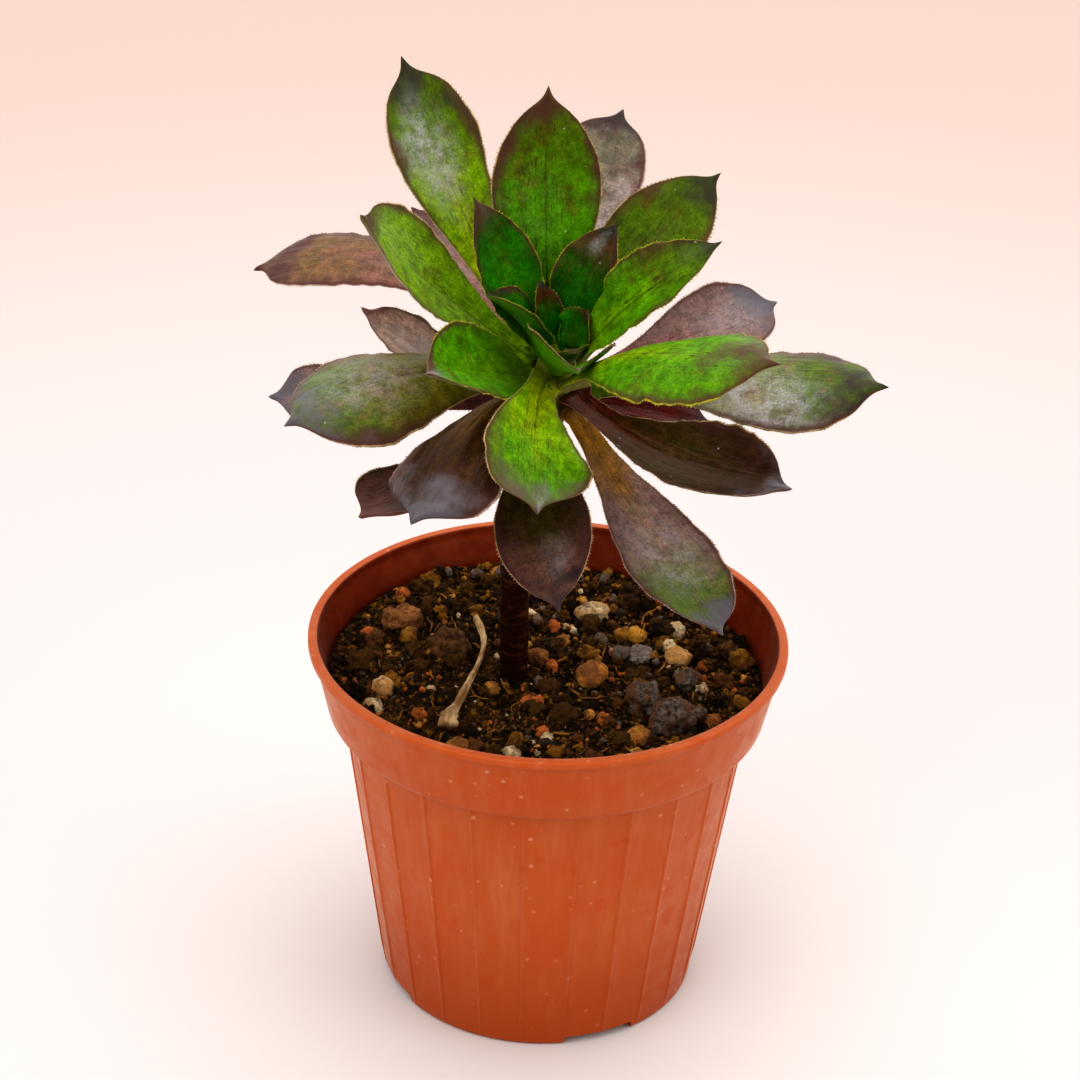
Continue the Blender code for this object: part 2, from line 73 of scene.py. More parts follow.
camera = placed("camera", bpy.data.cameras.new("camera"))
camera.data.lens = LENS_MM
camera.data.sensor_width = SENSOR_MM
camera.data.clip_start = NEAREST_SEEN
camera.location = VIEW_TARGET + VIEW_DISTANCE * Vector((0, -math.cos(VIEW_HEIGHT), math.sin(VIEW_HEIGHT)))
level = Matrix.Rotation(math.pi / 2 - VIEW_HEIGHT, 3, "X")
camera.rotation_mode = "QUATERNION"
camera.rotation_quaternion = (level @ Matrix.Rotation(VIEW_LEAN, 3, "Z")).to_quaternion()
bpy.context.scene.camera = camera
bpy.context.scene.view_settings.view_transform = "Standard"
bpy.context.scene.view_settings.look = "High Contrast"

# ---- Pot ----
# A nursery pot of thin polypropylene, injection moulded in terracotta colour. It has a lip, a stepped collar,
# fine ribs down its tapered body, and a foot ring with notches, over a floor with drain slots.

LIP_HEIGHT = 0.0016
COLLAR_TOP_RADIUS = 0.0441
COLLAR_FOOT_RADIUS = 0.0412
COLLAR_FOOT_Z = 0.0585
BODY_TOP_RADIUS = 0.0383
FOOT_RADIUS = 0.0301
WALL = 0.0010
FLOOR_Z = 0.0020
FOOT_RING_WIDTH = 0.0024
HUB_RADIUS = 0.0075
EDGE_ROUNDING = 0.00045
ROUNDING_STEPS = 4
LONGEST_STRETCH = 0.004
RIBS = 24
RIB_TURN = math.radians(10)
RIB_HEIGHT = 0.00024
RIB_HALF_WIDTH = math.radians(0.75)
RIB_FOOT_Z = 0.0008
RIB_FADE_AT_FOOT = 0.003
RIB_FADE_AT_COLLAR = 0.001
PANEL_FLATNESS = 0.6
NOTCHES = 4
NOTCH_TURN = math.radians(24)
NOTCH_WIDTH = 0.014
NOTCH_HEIGHT = 0.0036
NOTCH_ROUNDING = 0.0007
SLOT_SIZE = (0.0034, 0.0090)
SLOT_RADIUS = 0.0185
SLOT_ROUNDING = 0.0004
SHARP_EDGE = math.radians(35)
WELD_GAP = 1e-6
TERRACOTTA = (0.405, 0.086, 0.013)
STAINED_TERRACOTTA = (0.400, 0.062, 0.003)
SHADED_FOOT_TERRACOTTA = (0.300, 0.050, 0.003)
FOOT_SHADE_Z = 0.034
SOILED_SHADED_TERRACOTTA = (0.140, 0.013, 0.001)
LIME_DUST = (0.62, 0.34, 0.24)
PLASTIC_GLOSS = (1.0, 0.66, 0.45, 1)
PLASTIC_SHEEN = (1.0, 0.78, 0.62, 1)


class Finish:
    """A node material built step by step.

    A step's values are numbers, colours or the sockets of other steps.
    """

    def __init__(self, name, roughness, specular):
        self.material = bpy.data.materials.new(name)
        self.material.use_nodes = True
        self.tree = self.material.node_tree
        self.shader = self.tree.nodes["Principled BSDF"]
        self.set("Roughness", roughness)
        self.set("Specular IOR Level", specular)

    def feed(self, socket, value):
        if isinstance(value, bpy.types.NodeSocket):
            self.tree.links.new(value, socket)
        elif isinstance(value, tuple) and len(value) == 3 and socket.type == "RGBA":
            socket.default_value = (*value, 1)
        else:
            socket.default_value = value

    def set(self, socket, value):
        self.feed(self.shader.inputs[socket], value)

    def step(self, kind, inputs, output=0, **settings):
        node = self.tree.nodes.new(kind)
        for name, value in settings.items():
            setattr(node, name, value)
        for socket, value in inputs.items():
            self.feed(node.inputs[socket], value)
        return node.outputs[output]

    def place(self):
        return self.step("ShaderNodeTexCoord", {}, "Object")

    def height(self):
        return self.step("ShaderNodeSeparateXYZ", {"Vector": self.place()}, "Z")

    def mark(self, name):
        """A value that the mesh carries at each of its points."""
        return self.step("ShaderNodeAttribute", {}, "Fac", attribute_name=name)

    def stretched(self, vector, scale):
        return self.step("ShaderNodeMapping", {"Vector": vector, "Scale": scale})

    def grain(self, size, vector=None, detail=3.0, roughness=0.5):
        """Cloudy noise whose lumps are about this size in metres."""
        inputs = {"Vector": vector or self.place(), "Scale": 1 / size}
        inputs |= {"Detail": detail, "Roughness": roughness}
        return self.step("ShaderNodeTexNoise", inputs)

    def cells(self, size, vector=None):
        """How far each place is from the middle of its cell, in cells of about this size in metres."""
        inputs = {"Vector": vector or self.place(), "Scale": 1 / size}
        return self.step("ShaderNodeTexVoronoi", inputs, "Distance")

    def between(self, value, low, high, start=0.0, end=1.0):
        """A soft step: start where the value is under low, and end where it is over high."""
        inputs = {"Value": value, "From Min": low, "From Max": high, "To Min": start, "To Max": end}
        return self.step("ShaderNodeMapRange", inputs, interpolation_type="SMOOTHSTEP")

    def patches(self, size, low, high, start=0.0, end=1.0, **grain):
        """A soft step over cloudy noise, which leaves patches of about this size."""
        return self.between(self.grain(size, **grain), low, high, start, end)

    def maths(self, operation, a, b=0.0):
        return self.step("ShaderNodeMath", {0: a, 1: b}, operation=operation)

    def times(self, a, b):
        return self.maths("MULTIPLY", a, b)

    def mix(self, share, a, b, blend="MIX"):
        return self.step("ShaderNodeMix", {0: share, 6: a, 7: b}, 2, data_type="RGBA", blend_type=blend)

    def relief(self, height, depth, over=None):
        """Surface relief of this depth in metres, laid over another relief where one is given."""
        inputs = {"Height": height, "Distance": depth, "Strength": 1.0}
        if over:
            inputs["Normal"] = over
        return self.step("ShaderNodeBump", inputs)

    def translucent(self, weight, reach, depth):
        """Lets this share of the light soak in, each colour of it by its reach times the depth in metres."""
        self.set("Subsurface Weight", weight)
        self.set("Subsurface Radius", reach)
        self.set("Subsurface Scale", depth)


def add_piece(name, mesh, finish, nodes=()):
    """A shown piece of the plant. It rides on the one body and stands for its CAD nodes."""
    piece = placed(name, mesh)
    mesh.materials.append(finish.material)
    mesh.shade_smooth()
    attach(piece, "root")
    if nodes:
        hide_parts(*nodes)
    return piece


def mesh_of(name, points, faces):
    mesh = bpy.data.meshes.new(name)
    mesh.from_pydata(np.asarray(points).tolist(), [], faces)
    mesh.validate()
    return mesh


def welded(mesh):
    """The mesh opened for editing, with its doubled points joined."""
    bm = bmesh.new()
    bm.from_mesh(mesh)
    bmesh.ops.remove_doubles(bm, verts=bm.verts, dist=WELD_GAP)
    return bm


def closed(bm, name):
    """The edited mesh put away under a name."""
    mesh = bpy.data.meshes.new(name)
    bm.to_mesh(mesh)
    bm.free()
    return mesh


def grid_faces(rows, columns):
    """Quads of a closed tube of rings, one ring of this many columns to a row."""
    faces = []
    for row in range(rows - 1):
        here, above = row * columns, (row + 1) * columns
        for column in range(columns):
            beside = (column + 1) % columns
            faces.append((here + column, here + beside, above + beside, above + column))
    return faces


def body_radius(z):
    return FOOT_RADIUS + (BODY_TOP_RADIUS - FOOT_RADIUS) * z / COLLAR_FOOT_Z


def rounded_profile(corners):
    """The closed outline with each corner rounded by its own radius: (radius, z, rounding)."""
    outline = []
    for index, (radius, z, rounding) in enumerate(corners):
        here = Vector((radius, z))
        if rounding == 0:
            outline.append(here)
            continue
        before = Vector(corners[index - 1][:2]) - here
        after = Vector(corners[(index + 1) % len(corners)][:2]) - here
        start = here + before.normalized() * min(rounding, before.length / 2)
        end = here + after.normalized() * min(rounding, after.length / 2)
        for step in range(ROUNDING_STEPS + 1):
            t = step / ROUNDING_STEPS
            outline.append(start * (1 - t) ** 2 + here * 2 * t * (1 - t) + end * t**2)
    return outline


def pot_outline(height, lip_radius):
    """The pot's cut edge: down its outside, across its underside, and up its inside."""
    lip_foot = height - LIP_HEIGHT
    step = COLLAR_FOOT_Z + WALL
    inner_foot = body_radius(FLOOR_Z + WALL) - WALL
    return rounded_profile(
        [
            (lip_radius, height, EDGE_ROUNDING),
            (lip_radius, lip_foot, EDGE_ROUNDING),
            (COLLAR_TOP_RADIUS, lip_foot, EDGE_ROUNDING),
            (COLLAR_FOOT_RADIUS, COLLAR_FOOT_Z, 2 * EDGE_ROUNDING),
            (BODY_TOP_RADIUS, COLLAR_FOOT_Z, EDGE_ROUNDING),
            (FOOT_RADIUS, 0, 2 * EDGE_ROUNDING),
            (FOOT_RADIUS - FOOT_RING_WIDTH, 0, EDGE_ROUNDING),
            (FOOT_RADIUS - FOOT_RING_WIDTH, FLOOR_Z, EDGE_ROUNDING),
            (HUB_RADIUS, FLOOR_Z, EDGE_ROUNDING),
            (HUB_RADIUS, 0, EDGE_ROUNDING),
            (0, 0, 0),
            (0, FLOOR_Z + WALL, 0),
            (inner_foot, FLOOR_Z + WALL, EDGE_ROUNDING),
            (BODY_TOP_RADIUS - WALL, step, EDGE_ROUNDING),
            (COLLAR_FOOT_RADIUS - WALL, step, EDGE_ROUNDING),
            (COLLAR_TOP_RADIUS - WALL, lip_foot, EDGE_ROUNDING),
            (COLLAR_TOP_RADIUS - WALL, height, EDGE_ROUNDING),
        ]
    )


def rib_angles():
    """Angles round the pot: close together at each rib, wider between them."""
    panel = 2 * math.pi / RIBS
    rib = [RIB_HALF_WIDTH * share for share in (-1.5, -1, -0.7, -0.35, 0, 0.35, 0.7, 1, 1.5)]
    plain = np.linspace(rib[-1], panel + rib[0], 8)[1:-1].tolist()
    return [RIB_TURN + number * panel + offset for number in range(RIBS) for offset in rib + plain]


def split_long(outline):
    """The outline with extra points on its long straight stretches."""
    points = []
    for start, end in zip(outline, outline[1:] + outline[:1]):
        pieces = max(1, math.ceil((end - start).length / LONGEST_STRETCH))
        points += [start.lerp(end, piece / pieces) for piece in range(pieces)]
    return points


def pot_mesh(height, lip_radius):
    """The turned shell. Outside, its body has ribs with nearly flat panels between them."""
    panel = 2 * math.pi / RIBS
    outline = split_long(pot_outline(height, lip_radius))
    angles = rib_angles()
    points = []
    for radius, z in outline:
        outside = body_radius(z) - WALL / 2 < radius < BODY_TOP_RADIUS + WALL / 2
        fade = 0
        if outside and z > RIB_FOOT_Z:
            fade = min(1, (z - RIB_FOOT_Z) / RIB_FADE_AT_FOOT, (COLLAR_FOOT_Z - z) / RIB_FADE_AT_COLLAR)
            fade = max(0, fade)
        for angle in angles:
            offset = (angle - RIB_TURN + panel / 2) % panel - panel / 2
            rise = RIB_HEIGHT * max(0, 1 - (offset / RIB_HALF_WIDTH) ** 2) * fade
            chord = math.cos(panel / 2) / math.cos(panel / 2 - abs(offset))
            flat = PANEL_FLATNESS * radius * (1 - chord)
            out = radius + rise - fade * flat * (abs(offset) > RIB_HALF_WIDTH)
            points.append((out * math.cos(angle), out * math.sin(angle), z))
    columns = len(angles)
    faces = grid_faces(len(outline), columns)
    last = (len(outline) - 1) * columns
    for column in range(columns):
        beside = (column + 1) % columns
        faces.append((last + column, last + beside, beside, column))
    bm = welded(mesh_of("pot", points, faces))
    bmesh.ops.recalc_face_normals(bm, faces=bm.faces)
    return closed(bm, "pot_shell")


def bar(size, turn, centre, rounding):
    """A rounded bar that cuts a notch or a slot in the foot."""
    bm = bmesh.new()
    bmesh.ops.create_cube(bm, size=1, matrix=Matrix.Diagonal((*size, 1)))
    bmesh.ops.bevel(bm, geom=bm.edges[:], offset=rounding, segments=3, profile=0.5, affect="EDGES")
    bmesh.ops.transform(bm, matrix=Matrix.Rotation(turn, 4, "Z") @ Matrix.Translation(centre), verts=bm.verts)
    return placed("bar", closed(bm, "bar"))


def cut_away(mesh, cutters):
    """The mesh with each cutter taken away from it, and the cutters thrown away."""
    whole = placed("whole", mesh)
    for cutter in cutters:
        boolean = whole.modifiers.new("cut", "BOOLEAN")
        boolean.operation = "DIFFERENCE"
        boolean.solver = "EXACT"
        boolean.object = cutter
    graph = bpy.context.evaluated_depsgraph_get()
    made = bpy.data.meshes.new_from_object(whole.evaluated_get(graph))
    for spare in [whole, *cutters]:
        bpy.data.objects.remove(spare)
    return made


def pot_plastic():
    """Satin moulded plastic: a little mottled, stained and dusty outside, darker towards its foot as painted
    shade, and darker on its inner wall from soil stain and painted shade.
    """
    finish = Finish("terracotta_plastic", 0.40, 0.45)
    tall = finish.stretched(finish.place(), (1, 1, 0.12))
    mottle = finish.patches(0.016, 0.40, 0.70, 0, 0.55, detail=4)
    colour = finish.mix(mottle, TERRACOTTA, STAINED_TERRACOTTA)
    streaks = finish.patches(0.0022, 0.52, 0.80, 0, 0.22, vector=tall, detail=2)
    colour = finish.mix(streaks, colour, STAINED_TERRACOTTA)
    stains = finish.patches(0.0065, 0.64, 0.70, 0, 0.8, detail=2)
    colour = finish.mix(stains, colour, STAINED_TERRACOTTA)
    haze = finish.patches(0.0040, 0.40, 0.80, 0.03, 0.16, vector=tall, detail=6, roughness=0.7)
    wear = finish.patches(0.011, 0.44, 0.56)
    spots = finish.times(finish.between(finish.cells(0.0032), 0.07, 0.20, 0.48, 0), wear)
    colour = finish.mix(finish.maths("MAXIMUM", spots, haze), colour, LIME_DUST)
    # Painted shade: the pot is painted darker towards its foot.
    foot_shade = finish.between(finish.height(), 0.0, FOOT_SHADE_Z, 0.75, 0)
    colour = finish.mix(foot_shade, colour, SHADED_FOOT_TERRACOTTA)
    # The inner wall, whose faces look in towards the axis, is darker: partly soil stain, partly painted shade
    # inside the pot.
    normal = finish.step("ShaderNodeNewGeometry", {}, "Normal")
    spoke = finish.stretched(finish.place(), (1, 1, 0))
    facing_out = finish.step("ShaderNodeVectorMath", {0: normal, 1: spoke}, "Value", operation="DOT_PRODUCT")
    soiled_and_shaded = finish.between(facing_out, -0.030, -0.012, 1, 0)
    smears = finish.patches(0.004, 0.30, 0.62, 0.72, 0.95, detail=5)
    colour = finish.mix(finish.times(soiled_and_shaded, smears), colour, SOILED_SHADED_TERRACOTTA)
    finish.set("Base Color", colour)
    finish.set("Roughness", finish.patches(0.004, 0.3, 0.75, 0.34, 0.52, detail=5))
    ripple = finish.relief(finish.grain(0.012, tall, detail=1), 0.00012)
    finish.set("Normal", finish.relief(finish.grain(0.0003, detail=3), 0.000018, ripple))
    finish.set("Specular Tint", PLASTIC_GLOSS)
    finish.set("Sheen Weight", 0.22)
    finish.set("Sheen Roughness", 0.25)
    finish.set("Sheen Tint", PLASTIC_SHEEN)
    finish.translucent(0.06, (1.0, 0.25, 0.08), 0.0015)
    return finish


pot_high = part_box("pot")[1]
notch_size = (3 * FOOT_RING_WIDTH, NOTCH_WIDTH, NOTCH_HEIGHT)
slot_size = (*SLOT_SIZE, 4 * WALL)
cutters = []
for number in range(NOTCHES):
    turn = NOTCH_TURN + 2 * math.pi * number / NOTCHES
    cutters.append(bar(notch_size, turn, (FOOT_RADIUS, 0, 0), NOTCH_ROUNDING))
    cutters.append(bar(slot_size, turn, (SLOT_RADIUS, 0, FLOOR_Z + WALL / 2), SLOT_ROUNDING))
shell = cut_away(pot_mesh(pot_high.z, pot_high.x), cutters)
pot = add_piece("pot_shell", shell, pot_plastic(), ["pot"])
pot.data.set_sharp_from_angle(angle=SHARP_EDGE)

# ---- Soil ----
# Dark potting mix that fills the pot to a little under the lip, pressed down unevenly by watering.
# It is one surface of crumbs, on top of the root ball's own sides.

SOIL_SPACING = 0.00062
CRUMB_HEIGHT = 0.0010
COARSE_CRUMB = 0.0031
FINE_CRUMB = 0.0013
STONE_CLEARANCE = 0.0004
STALK_CLEARANCE = 0.0008
STALK_FADE = 0.0022
PEAT = (0.014, 0.0060, 0.0012)
DRY_PEAT = (0.080, 0.038, 0.008)
OCHRE_PEAT = (0.260, 0.125, 0.016)

STONE_NODES = sorted(
    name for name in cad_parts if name.startswith(("lava_stone", "pumice", "clay_grain", "clod"))
)
stone_boxes = [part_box(name) for name in STONE_NODES]


def frame_points(node):
    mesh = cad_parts[node].data
    points = np.empty(len(mesh.vertices) * 3, np.float32)
    mesh.vertices.foreach_get("co", points)
    return points.reshape(-1, 3).astype(float)


soil_points = frame_points("soil")
on_top = soil_points[:, 2] > COLLAR_FOOT_Z + 3 * WALL
soil_edge = np.hypot(soil_points[:, 0], soil_points[:, 1])[on_top].max()
for low, high in stone_boxes:
    inside = (soil_points[:, :2] > np.array(low)[:2] - STONE_CLEARANCE).all(1)
    on_top &= ~(inside & (soil_points[:, :2] < np.array(high)[:2] + STONE_CLEARANCE).all(1))
soil_top = soil_points[on_top]


def soil_level(x, y):
    """Height of the packed soil between its CAD points."""
    squared = (soil_top[:, 0] - x) ** 2 + (soil_top[:, 1] - y) ** 2 + 1e-9
    weight = squared**-2
    return float((weight * soil_top[:, 2]).sum() / weight.sum())


stalk_points = frame_points("dry_stalk")


def beside_stalk(x, y):
    """0 on the line of the dry stalk, rising to 1 where the soil is clear of it."""
    nearest = np.hypot(stalk_points[:, 0] - x, stalk_points[:, 1] - y).min()
    return min(1, max(0, (nearest - STALK_CLEARANCE) / STALK_FADE))


def crumbs(x, y):
    """Height of the crumbs over the packed soil."""
    coarse = noise.noise(Vector((x, y, 3.1)) / COARSE_CRUMB)
    fine = noise.fractal(Vector((x, y, 7.7)) / FINE_CRUMB, 0.7, 2.1, 4)
    height = CRUMB_HEIGHT * (0.8 * coarse + 0.9 * abs(fine) - 0.3)
    return min(height, 0) + max(height, 0) * beside_stalk(x, y)


def pole_faces(rows, columns):
    """Triangles that close a tube of rings: from a pole under its first ring and a pole over its last."""
    faces = []
    last, pole = (rows - 1) * columns, rows * columns
    for column in range(columns):
        beside = (column + 1) % columns
        faces.append((pole, beside, column))
        faces.append((pole + 1, last + column, last + beside))
    return faces


def soil_mesh():
    """Rings of points from the middle to the wall, then the root ball's sides and underside."""
    rings = round(soil_edge / SOIL_SPACING)
    columns = round(2 * math.pi * soil_edge / SOIL_SPACING / 1.6)
    angles = np.arange(columns) * 2 * math.pi / columns
    points = []
    for ring in range(1, rings + 1):
        radius = soil_edge * ring / rings
        for angle in angles:
            x, y = radius * math.cos(angle), radius * math.sin(angle)
            points.append((x, y, soil_level(x, y) + crumbs(x, y) * min(1, 2.5 * (1 - ring / rings) + 0.3)))
    low = soil_points[:, 2].min()
    step = COLLAR_FOOT_Z + 1.6 * WALL
    sides = (
        (soil_edge - 0.6 * WALL, step),
        (body_radius(step) - 1.5 * WALL, step),
        (body_radius(low) - 1.4 * WALL, low),
    )
    for radius, z in sides:
        points += [(radius * math.cos(angle), radius * math.sin(angle), z) for angle in angles]
    points += [(0, 0, soil_level(0, 0)), (0, 0, low)]
    rows = rings + len(sides)
    return mesh_of("potting_soil", points, grid_faces(rows, columns) + pole_faces(rows, columns))


def soil_finish():
    """Peat crumbs, darker where they are damp, with ochre dust and rough relief."""
    finish = Finish("potting_soil", 0.92, 0.20)
    colour = finish.mix(finish.patches(0.009, 0.42, 0.66, detail=5), PEAT, DRY_PEAT)
    colour = finish.mix(finish.patches(0.0016, 0.52, 0.70, 0, 0.75, detail=5), colour, OCHRE_PEAT)
    colour = finish.mix(finish.patches(0.0009, 0.34, 0.50, 0.85, 0, detail=2), colour, PEAT)
    finish.set("Base Color", colour)
    rough = finish.relief(finish.grain(0.0011, detail=6, roughness=0.7), 0.0006)
    finish.set("Normal", finish.relief(finish.cells(0.0007), 0.0003, rough))
    return finish


add_piece("potting_soil", soil_mesh(), soil_finish(), ["soil"])

# ---- Loose crumbs, grit and fibres ----
# Lumps of peat, chips of clay, pumice and lava, and shreds of bark that lie loose on the soil.
# They come from the mix itself, and are too many and too small to be CAD nodes.

BRICK = (0.42, 0.13, 0.030)
OCHRE = (0.46, 0.23, 0.055)
CREAM = (0.62, 0.48, 0.30)
ASH = (0.150, 0.120, 0.100)
CHAR = (0.040, 0.030, 0.026)
BARK = (0.150, 0.062, 0.022)
STEM_CLEARANCE = 0.0025
LARGEST_DUST = 0.0008
LUMP_SHAPES = 16
SHREDS = 130
SHRED_SIDES = 5
SHRED_STEPS = 7
SHRED_HEIGHT = 0.0005
WALL_CLEARANCE = 0.001

chance = np.random.default_rng(7)


def lump_shapes(roughness, subdivisions):
    """Rough lumps about one across, and the faces that they share."""
    bm = bmesh.new()
    bmesh.ops.create_icosphere(bm, subdivisions=subdivisions, radius=0.5)
    ball = [vertex.co.copy() for vertex in bm.verts]
    faces = [[vertex.index for vertex in face.verts] for face in bm.faces]
    bm.free()
    shapes = []
    for number in range(LUMP_SHAPES):
        seed = Vector((number * 3.7, 1.9, 0.4))
        lump = [point * (1 + roughness * noise.fractal(point * 2.6 + seed, 0.8, 2.0, 3)) for point in ball]
        shapes.append(np.array(lump))
    return shapes, faces


def slices(node, axis, count):
    """Centres and radii of the node's sections at even places along an axis."""
    bm = welded(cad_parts[node].data)
    ends = np.array([[vertex.co for vertex in edge.verts] for edge in bm.edges])
    bm.free()
    low, high = ends[:, :, axis].min(), ends[:, :, axis].max()
    centres, radii = [], []
    for share in np.linspace(0.004, 0.996, count):
        level = low + (high - low) * share
        start, end = ends[:, 0], ends[:, 1]
        crossed = (start[:, axis] - level) * (end[:, axis] - level) < 0
        start, end = start[crossed], end[crossed]
        along = ((level - start[:, axis]) / (end[:, axis] - start[:, axis]))[:, None]
        hits = start + along * (end - start)
        centre = (hits.min(0) + hits.max(0)) / 2
        centres.append(centre)
        radii.append(np.linalg.norm(hits - centre, axis=1).mean())
    return np.array(centres), np.array(radii)


stem_foot = Vector(slices("stem", 2, 3)[0][0])


def under_stone(x, y, share):
    """Whether the place is within this share of a stone's half width."""
    for low, high in stone_boxes:
        within_x = abs(2 * x - low.x - high.x) < share * (high.x - low.x)
        if within_x and abs(2 * y - low.y - high.y) < share * (high.y - low.y):
            return True
    return False


def on_stem_or_stalk(x, y, size):
    """Whether a lump of this size would touch the stem or, unless it is mere dust, hide the dry stalk."""
    if math.hypot(x - stem_foot.x, y - stem_foot.y) < size / 2 + STEM_CLEARANCE:
        return True
    return size > LARGEST_DUST and beside_stalk(x, y) < 0.25 + 150 * size


def scatter(name, finish, count, sizes, rareness, roughness, flatness, subdivisions, left_share=1.0):
    """Loose lumps on the soil between two sizes. A greater rareness leaves fewer large ones.

    left_share is the share of the lumps that stay, of those that fall to the left of the stem.
    """
    shapes, shape_faces = lump_shapes(roughness, subdivisions)
    points, faces, tones = [], [], []
    while len(tones) < count:
        size = sizes[0] + (sizes[1] - sizes[0]) * chance.random() ** rareness
        radius = min(soil_edge * math.sqrt(chance.random()), soil_edge - size / 2)
        angle = 2 * math.pi * chance.random()
        turn = chance.random(3) * 2 * math.pi
        stretch = 1 - flatness * chance.random(3)
        sink = chance.random()
        tone = chance.random()
        shape = shapes[chance.integers(len(shapes))]
        x, y = radius * math.cos(angle), radius * math.sin(angle)
        if x < stem_foot.x and chance.random() > left_share:
            continue
        if under_stone(x, y, 0.75) or on_stem_or_stalk(x, y, size):
            continue
        rotation = np.array(Matrix.Rotation(turn[0], 3, "X") @ Matrix.Rotation(turn[1], 3, "Z"))
        lump = (shape * stretch * size) @ rotation.T
        middle = (x, y, soil_level(x, y) + crumbs(x, y) + size * (0.30 - 0.40 * sink))
        faces += [[corner + len(tones) * len(shape) for corner in face] for face in shape_faces]
        points.append(lump + middle)
        tones.append(tone)
    mesh = mesh_of(name, np.concatenate(points), faces)
    shade = mesh.attributes.new("tone", "FLOAT", "POINT")
    shade.data.foreach_set("value", np.repeat(tones, len(shapes[0])).astype(np.float32))
    add_piece(name, mesh, finish)
    if subdivisions == 1:
        mesh.shade_flat()


def toned_finish(name, colours, roughness, lump, depth):
    """A rough mineral or peat finish whose lumps each take one of the colours in turn."""
    finish = Finish(name, roughness, 0.20)
    tone = finish.mark("tone")
    colour = colours[0]
    for number, tint in enumerate(colours[1:], 1):
        edge = number / len(colours)
        colour = finish.mix(finish.between(tone, edge - 0.01, edge + 0.01), colour, tint)
    dirt = finish.patches(2.2 * lump, 0.42, 0.62, 0, 0.60, detail=4)
    colour = finish.mix(dirt, colour, DRY_PEAT)
    colour = finish.mix(finish.patches(lump / 2, 0.50, 0.72, 0, 0.45, detail=3), colour, PEAT)
    finish.set("Base Color", colour)
    finish.set("Normal", finish.relief(finish.grain(lump, detail=5, roughness=0.7), depth))
    return finish


peat_tones = toned_finish(
    "peat_crumbs",
    [PEAT, DRY_PEAT, PEAT, BARK, DRY_PEAT, PEAT, OCHRE_PEAT, PEAT],
    roughness=0.95,
    lump=0.0008,
    depth=0.0004,
)
grit_tones = toned_finish(
    "mixed_grit",
    [OCHRE, ASH, BRICK, CREAM, CHAR, OCHRE, OCHRE_PEAT, ASH, BRICK],
    roughness=0.85,
    lump=0.0009,
    depth=0.0002,
)
clod_tones = toned_finish(
    "crumbly_clods",
    [DRY_PEAT, PEAT, BARK, DRY_PEAT, OCHRE_PEAT, PEAT, DRY_PEAT],
    roughness=0.95,
    lump=0.0010,
    depth=0.0005,
)
# Name, finish, count, sizes, rareness, roughness, flatness, subdivisions and left share.
scatter("soil_crumbs", peat_tones, 6500, (0.0005, 0.0019), 1.6, 0.60, 0.50, 1)
scatter("crumbly_clods", clod_tones, 210, (0.0020, 0.0062), 1.8, 0.55, 0.30, 4)
scatter("grit_chips", grit_tones, 760, (0.0005, 0.0019), 1.4, 0.45, 0.50, 1, 0.55)
scatter("grit_pebbles", grit_tones, 150, (0.0016, 0.0042), 1.8, 0.40, 0.40, 3, 0.35)


def shred_mesh():
    """Thin bent shreds of bark that lie on the crumbs."""
    points, faces = [], []
    for _ in range(SHREDS):
        radius = soil_edge * 0.93 * math.sqrt(chance.random())
        angle = 2 * math.pi * chance.random()
        heading = 2 * math.pi * chance.random()
        length = 0.003 + 0.006 * chance.random() ** 2
        bend = chance.normal(0, 0.9)
        girth = 0.00013 + 0.00022 * chance.random()
        x, y = radius * math.cos(angle), radius * math.sin(angle)
        start = len(points)
        for step in range(SHRED_STEPS):
            share = step / (SHRED_STEPS - 1)
            turn = heading + bend * share
            thick = girth * math.sin(math.pi * (0.12 + 0.80 * share))
            reach = math.hypot(x, y)
            if reach > soil_edge - WALL_CLEARANCE:
                x, y = x * (soil_edge - WALL_CLEARANCE) / reach, y * (soil_edge - WALL_CLEARANCE) / reach
            z = soil_level(x, y) + crumbs(x, y) + SHRED_HEIGHT
            for side in range(SHRED_SIDES):
                around = 2 * math.pi * side / SHRED_SIDES
                out = thick * math.cos(around)
                up = thick * math.sin(around)
                points.append((x - out * math.sin(turn), y + out * math.cos(turn), z + up))
            x, y = x + length / SHRED_STEPS * math.cos(turn), y + length / SHRED_STEPS * math.sin(turn)
        faces += [[corner + start for corner in face] for face in grid_faces(SHRED_STEPS, SHRED_SIDES)]
        faces.append([start + side for side in reversed(range(SHRED_SIDES))])
        faces.append([len(points) - SHRED_SIDES + side for side in range(SHRED_SIDES)])
    return mesh_of("bark_shreds", points, faces)


bark_shreds = Finish("bark_shreds", 0.85, 0.2)
shred_colour = bark_shreds.mix(bark_shreds.patches(0.004, 0.4, 0.6), BARK, OCHRE_PEAT)
bark_shreds.set("Base Color", shred_colour)
bark_shreds.set("Normal", bark_shreds.relief(bark_shreds.grain(0.0004), 0.0001))
add_piece("bark_shreds", shred_mesh(), bark_shreds)

# ---- Stones and clods ----
# The larger grit of the mix, half sunk in it: craggy dark lava, pale pitted pumice, grains of fired clay,
# and brown clods of soil. Each is its CAD solid, broken up finer.

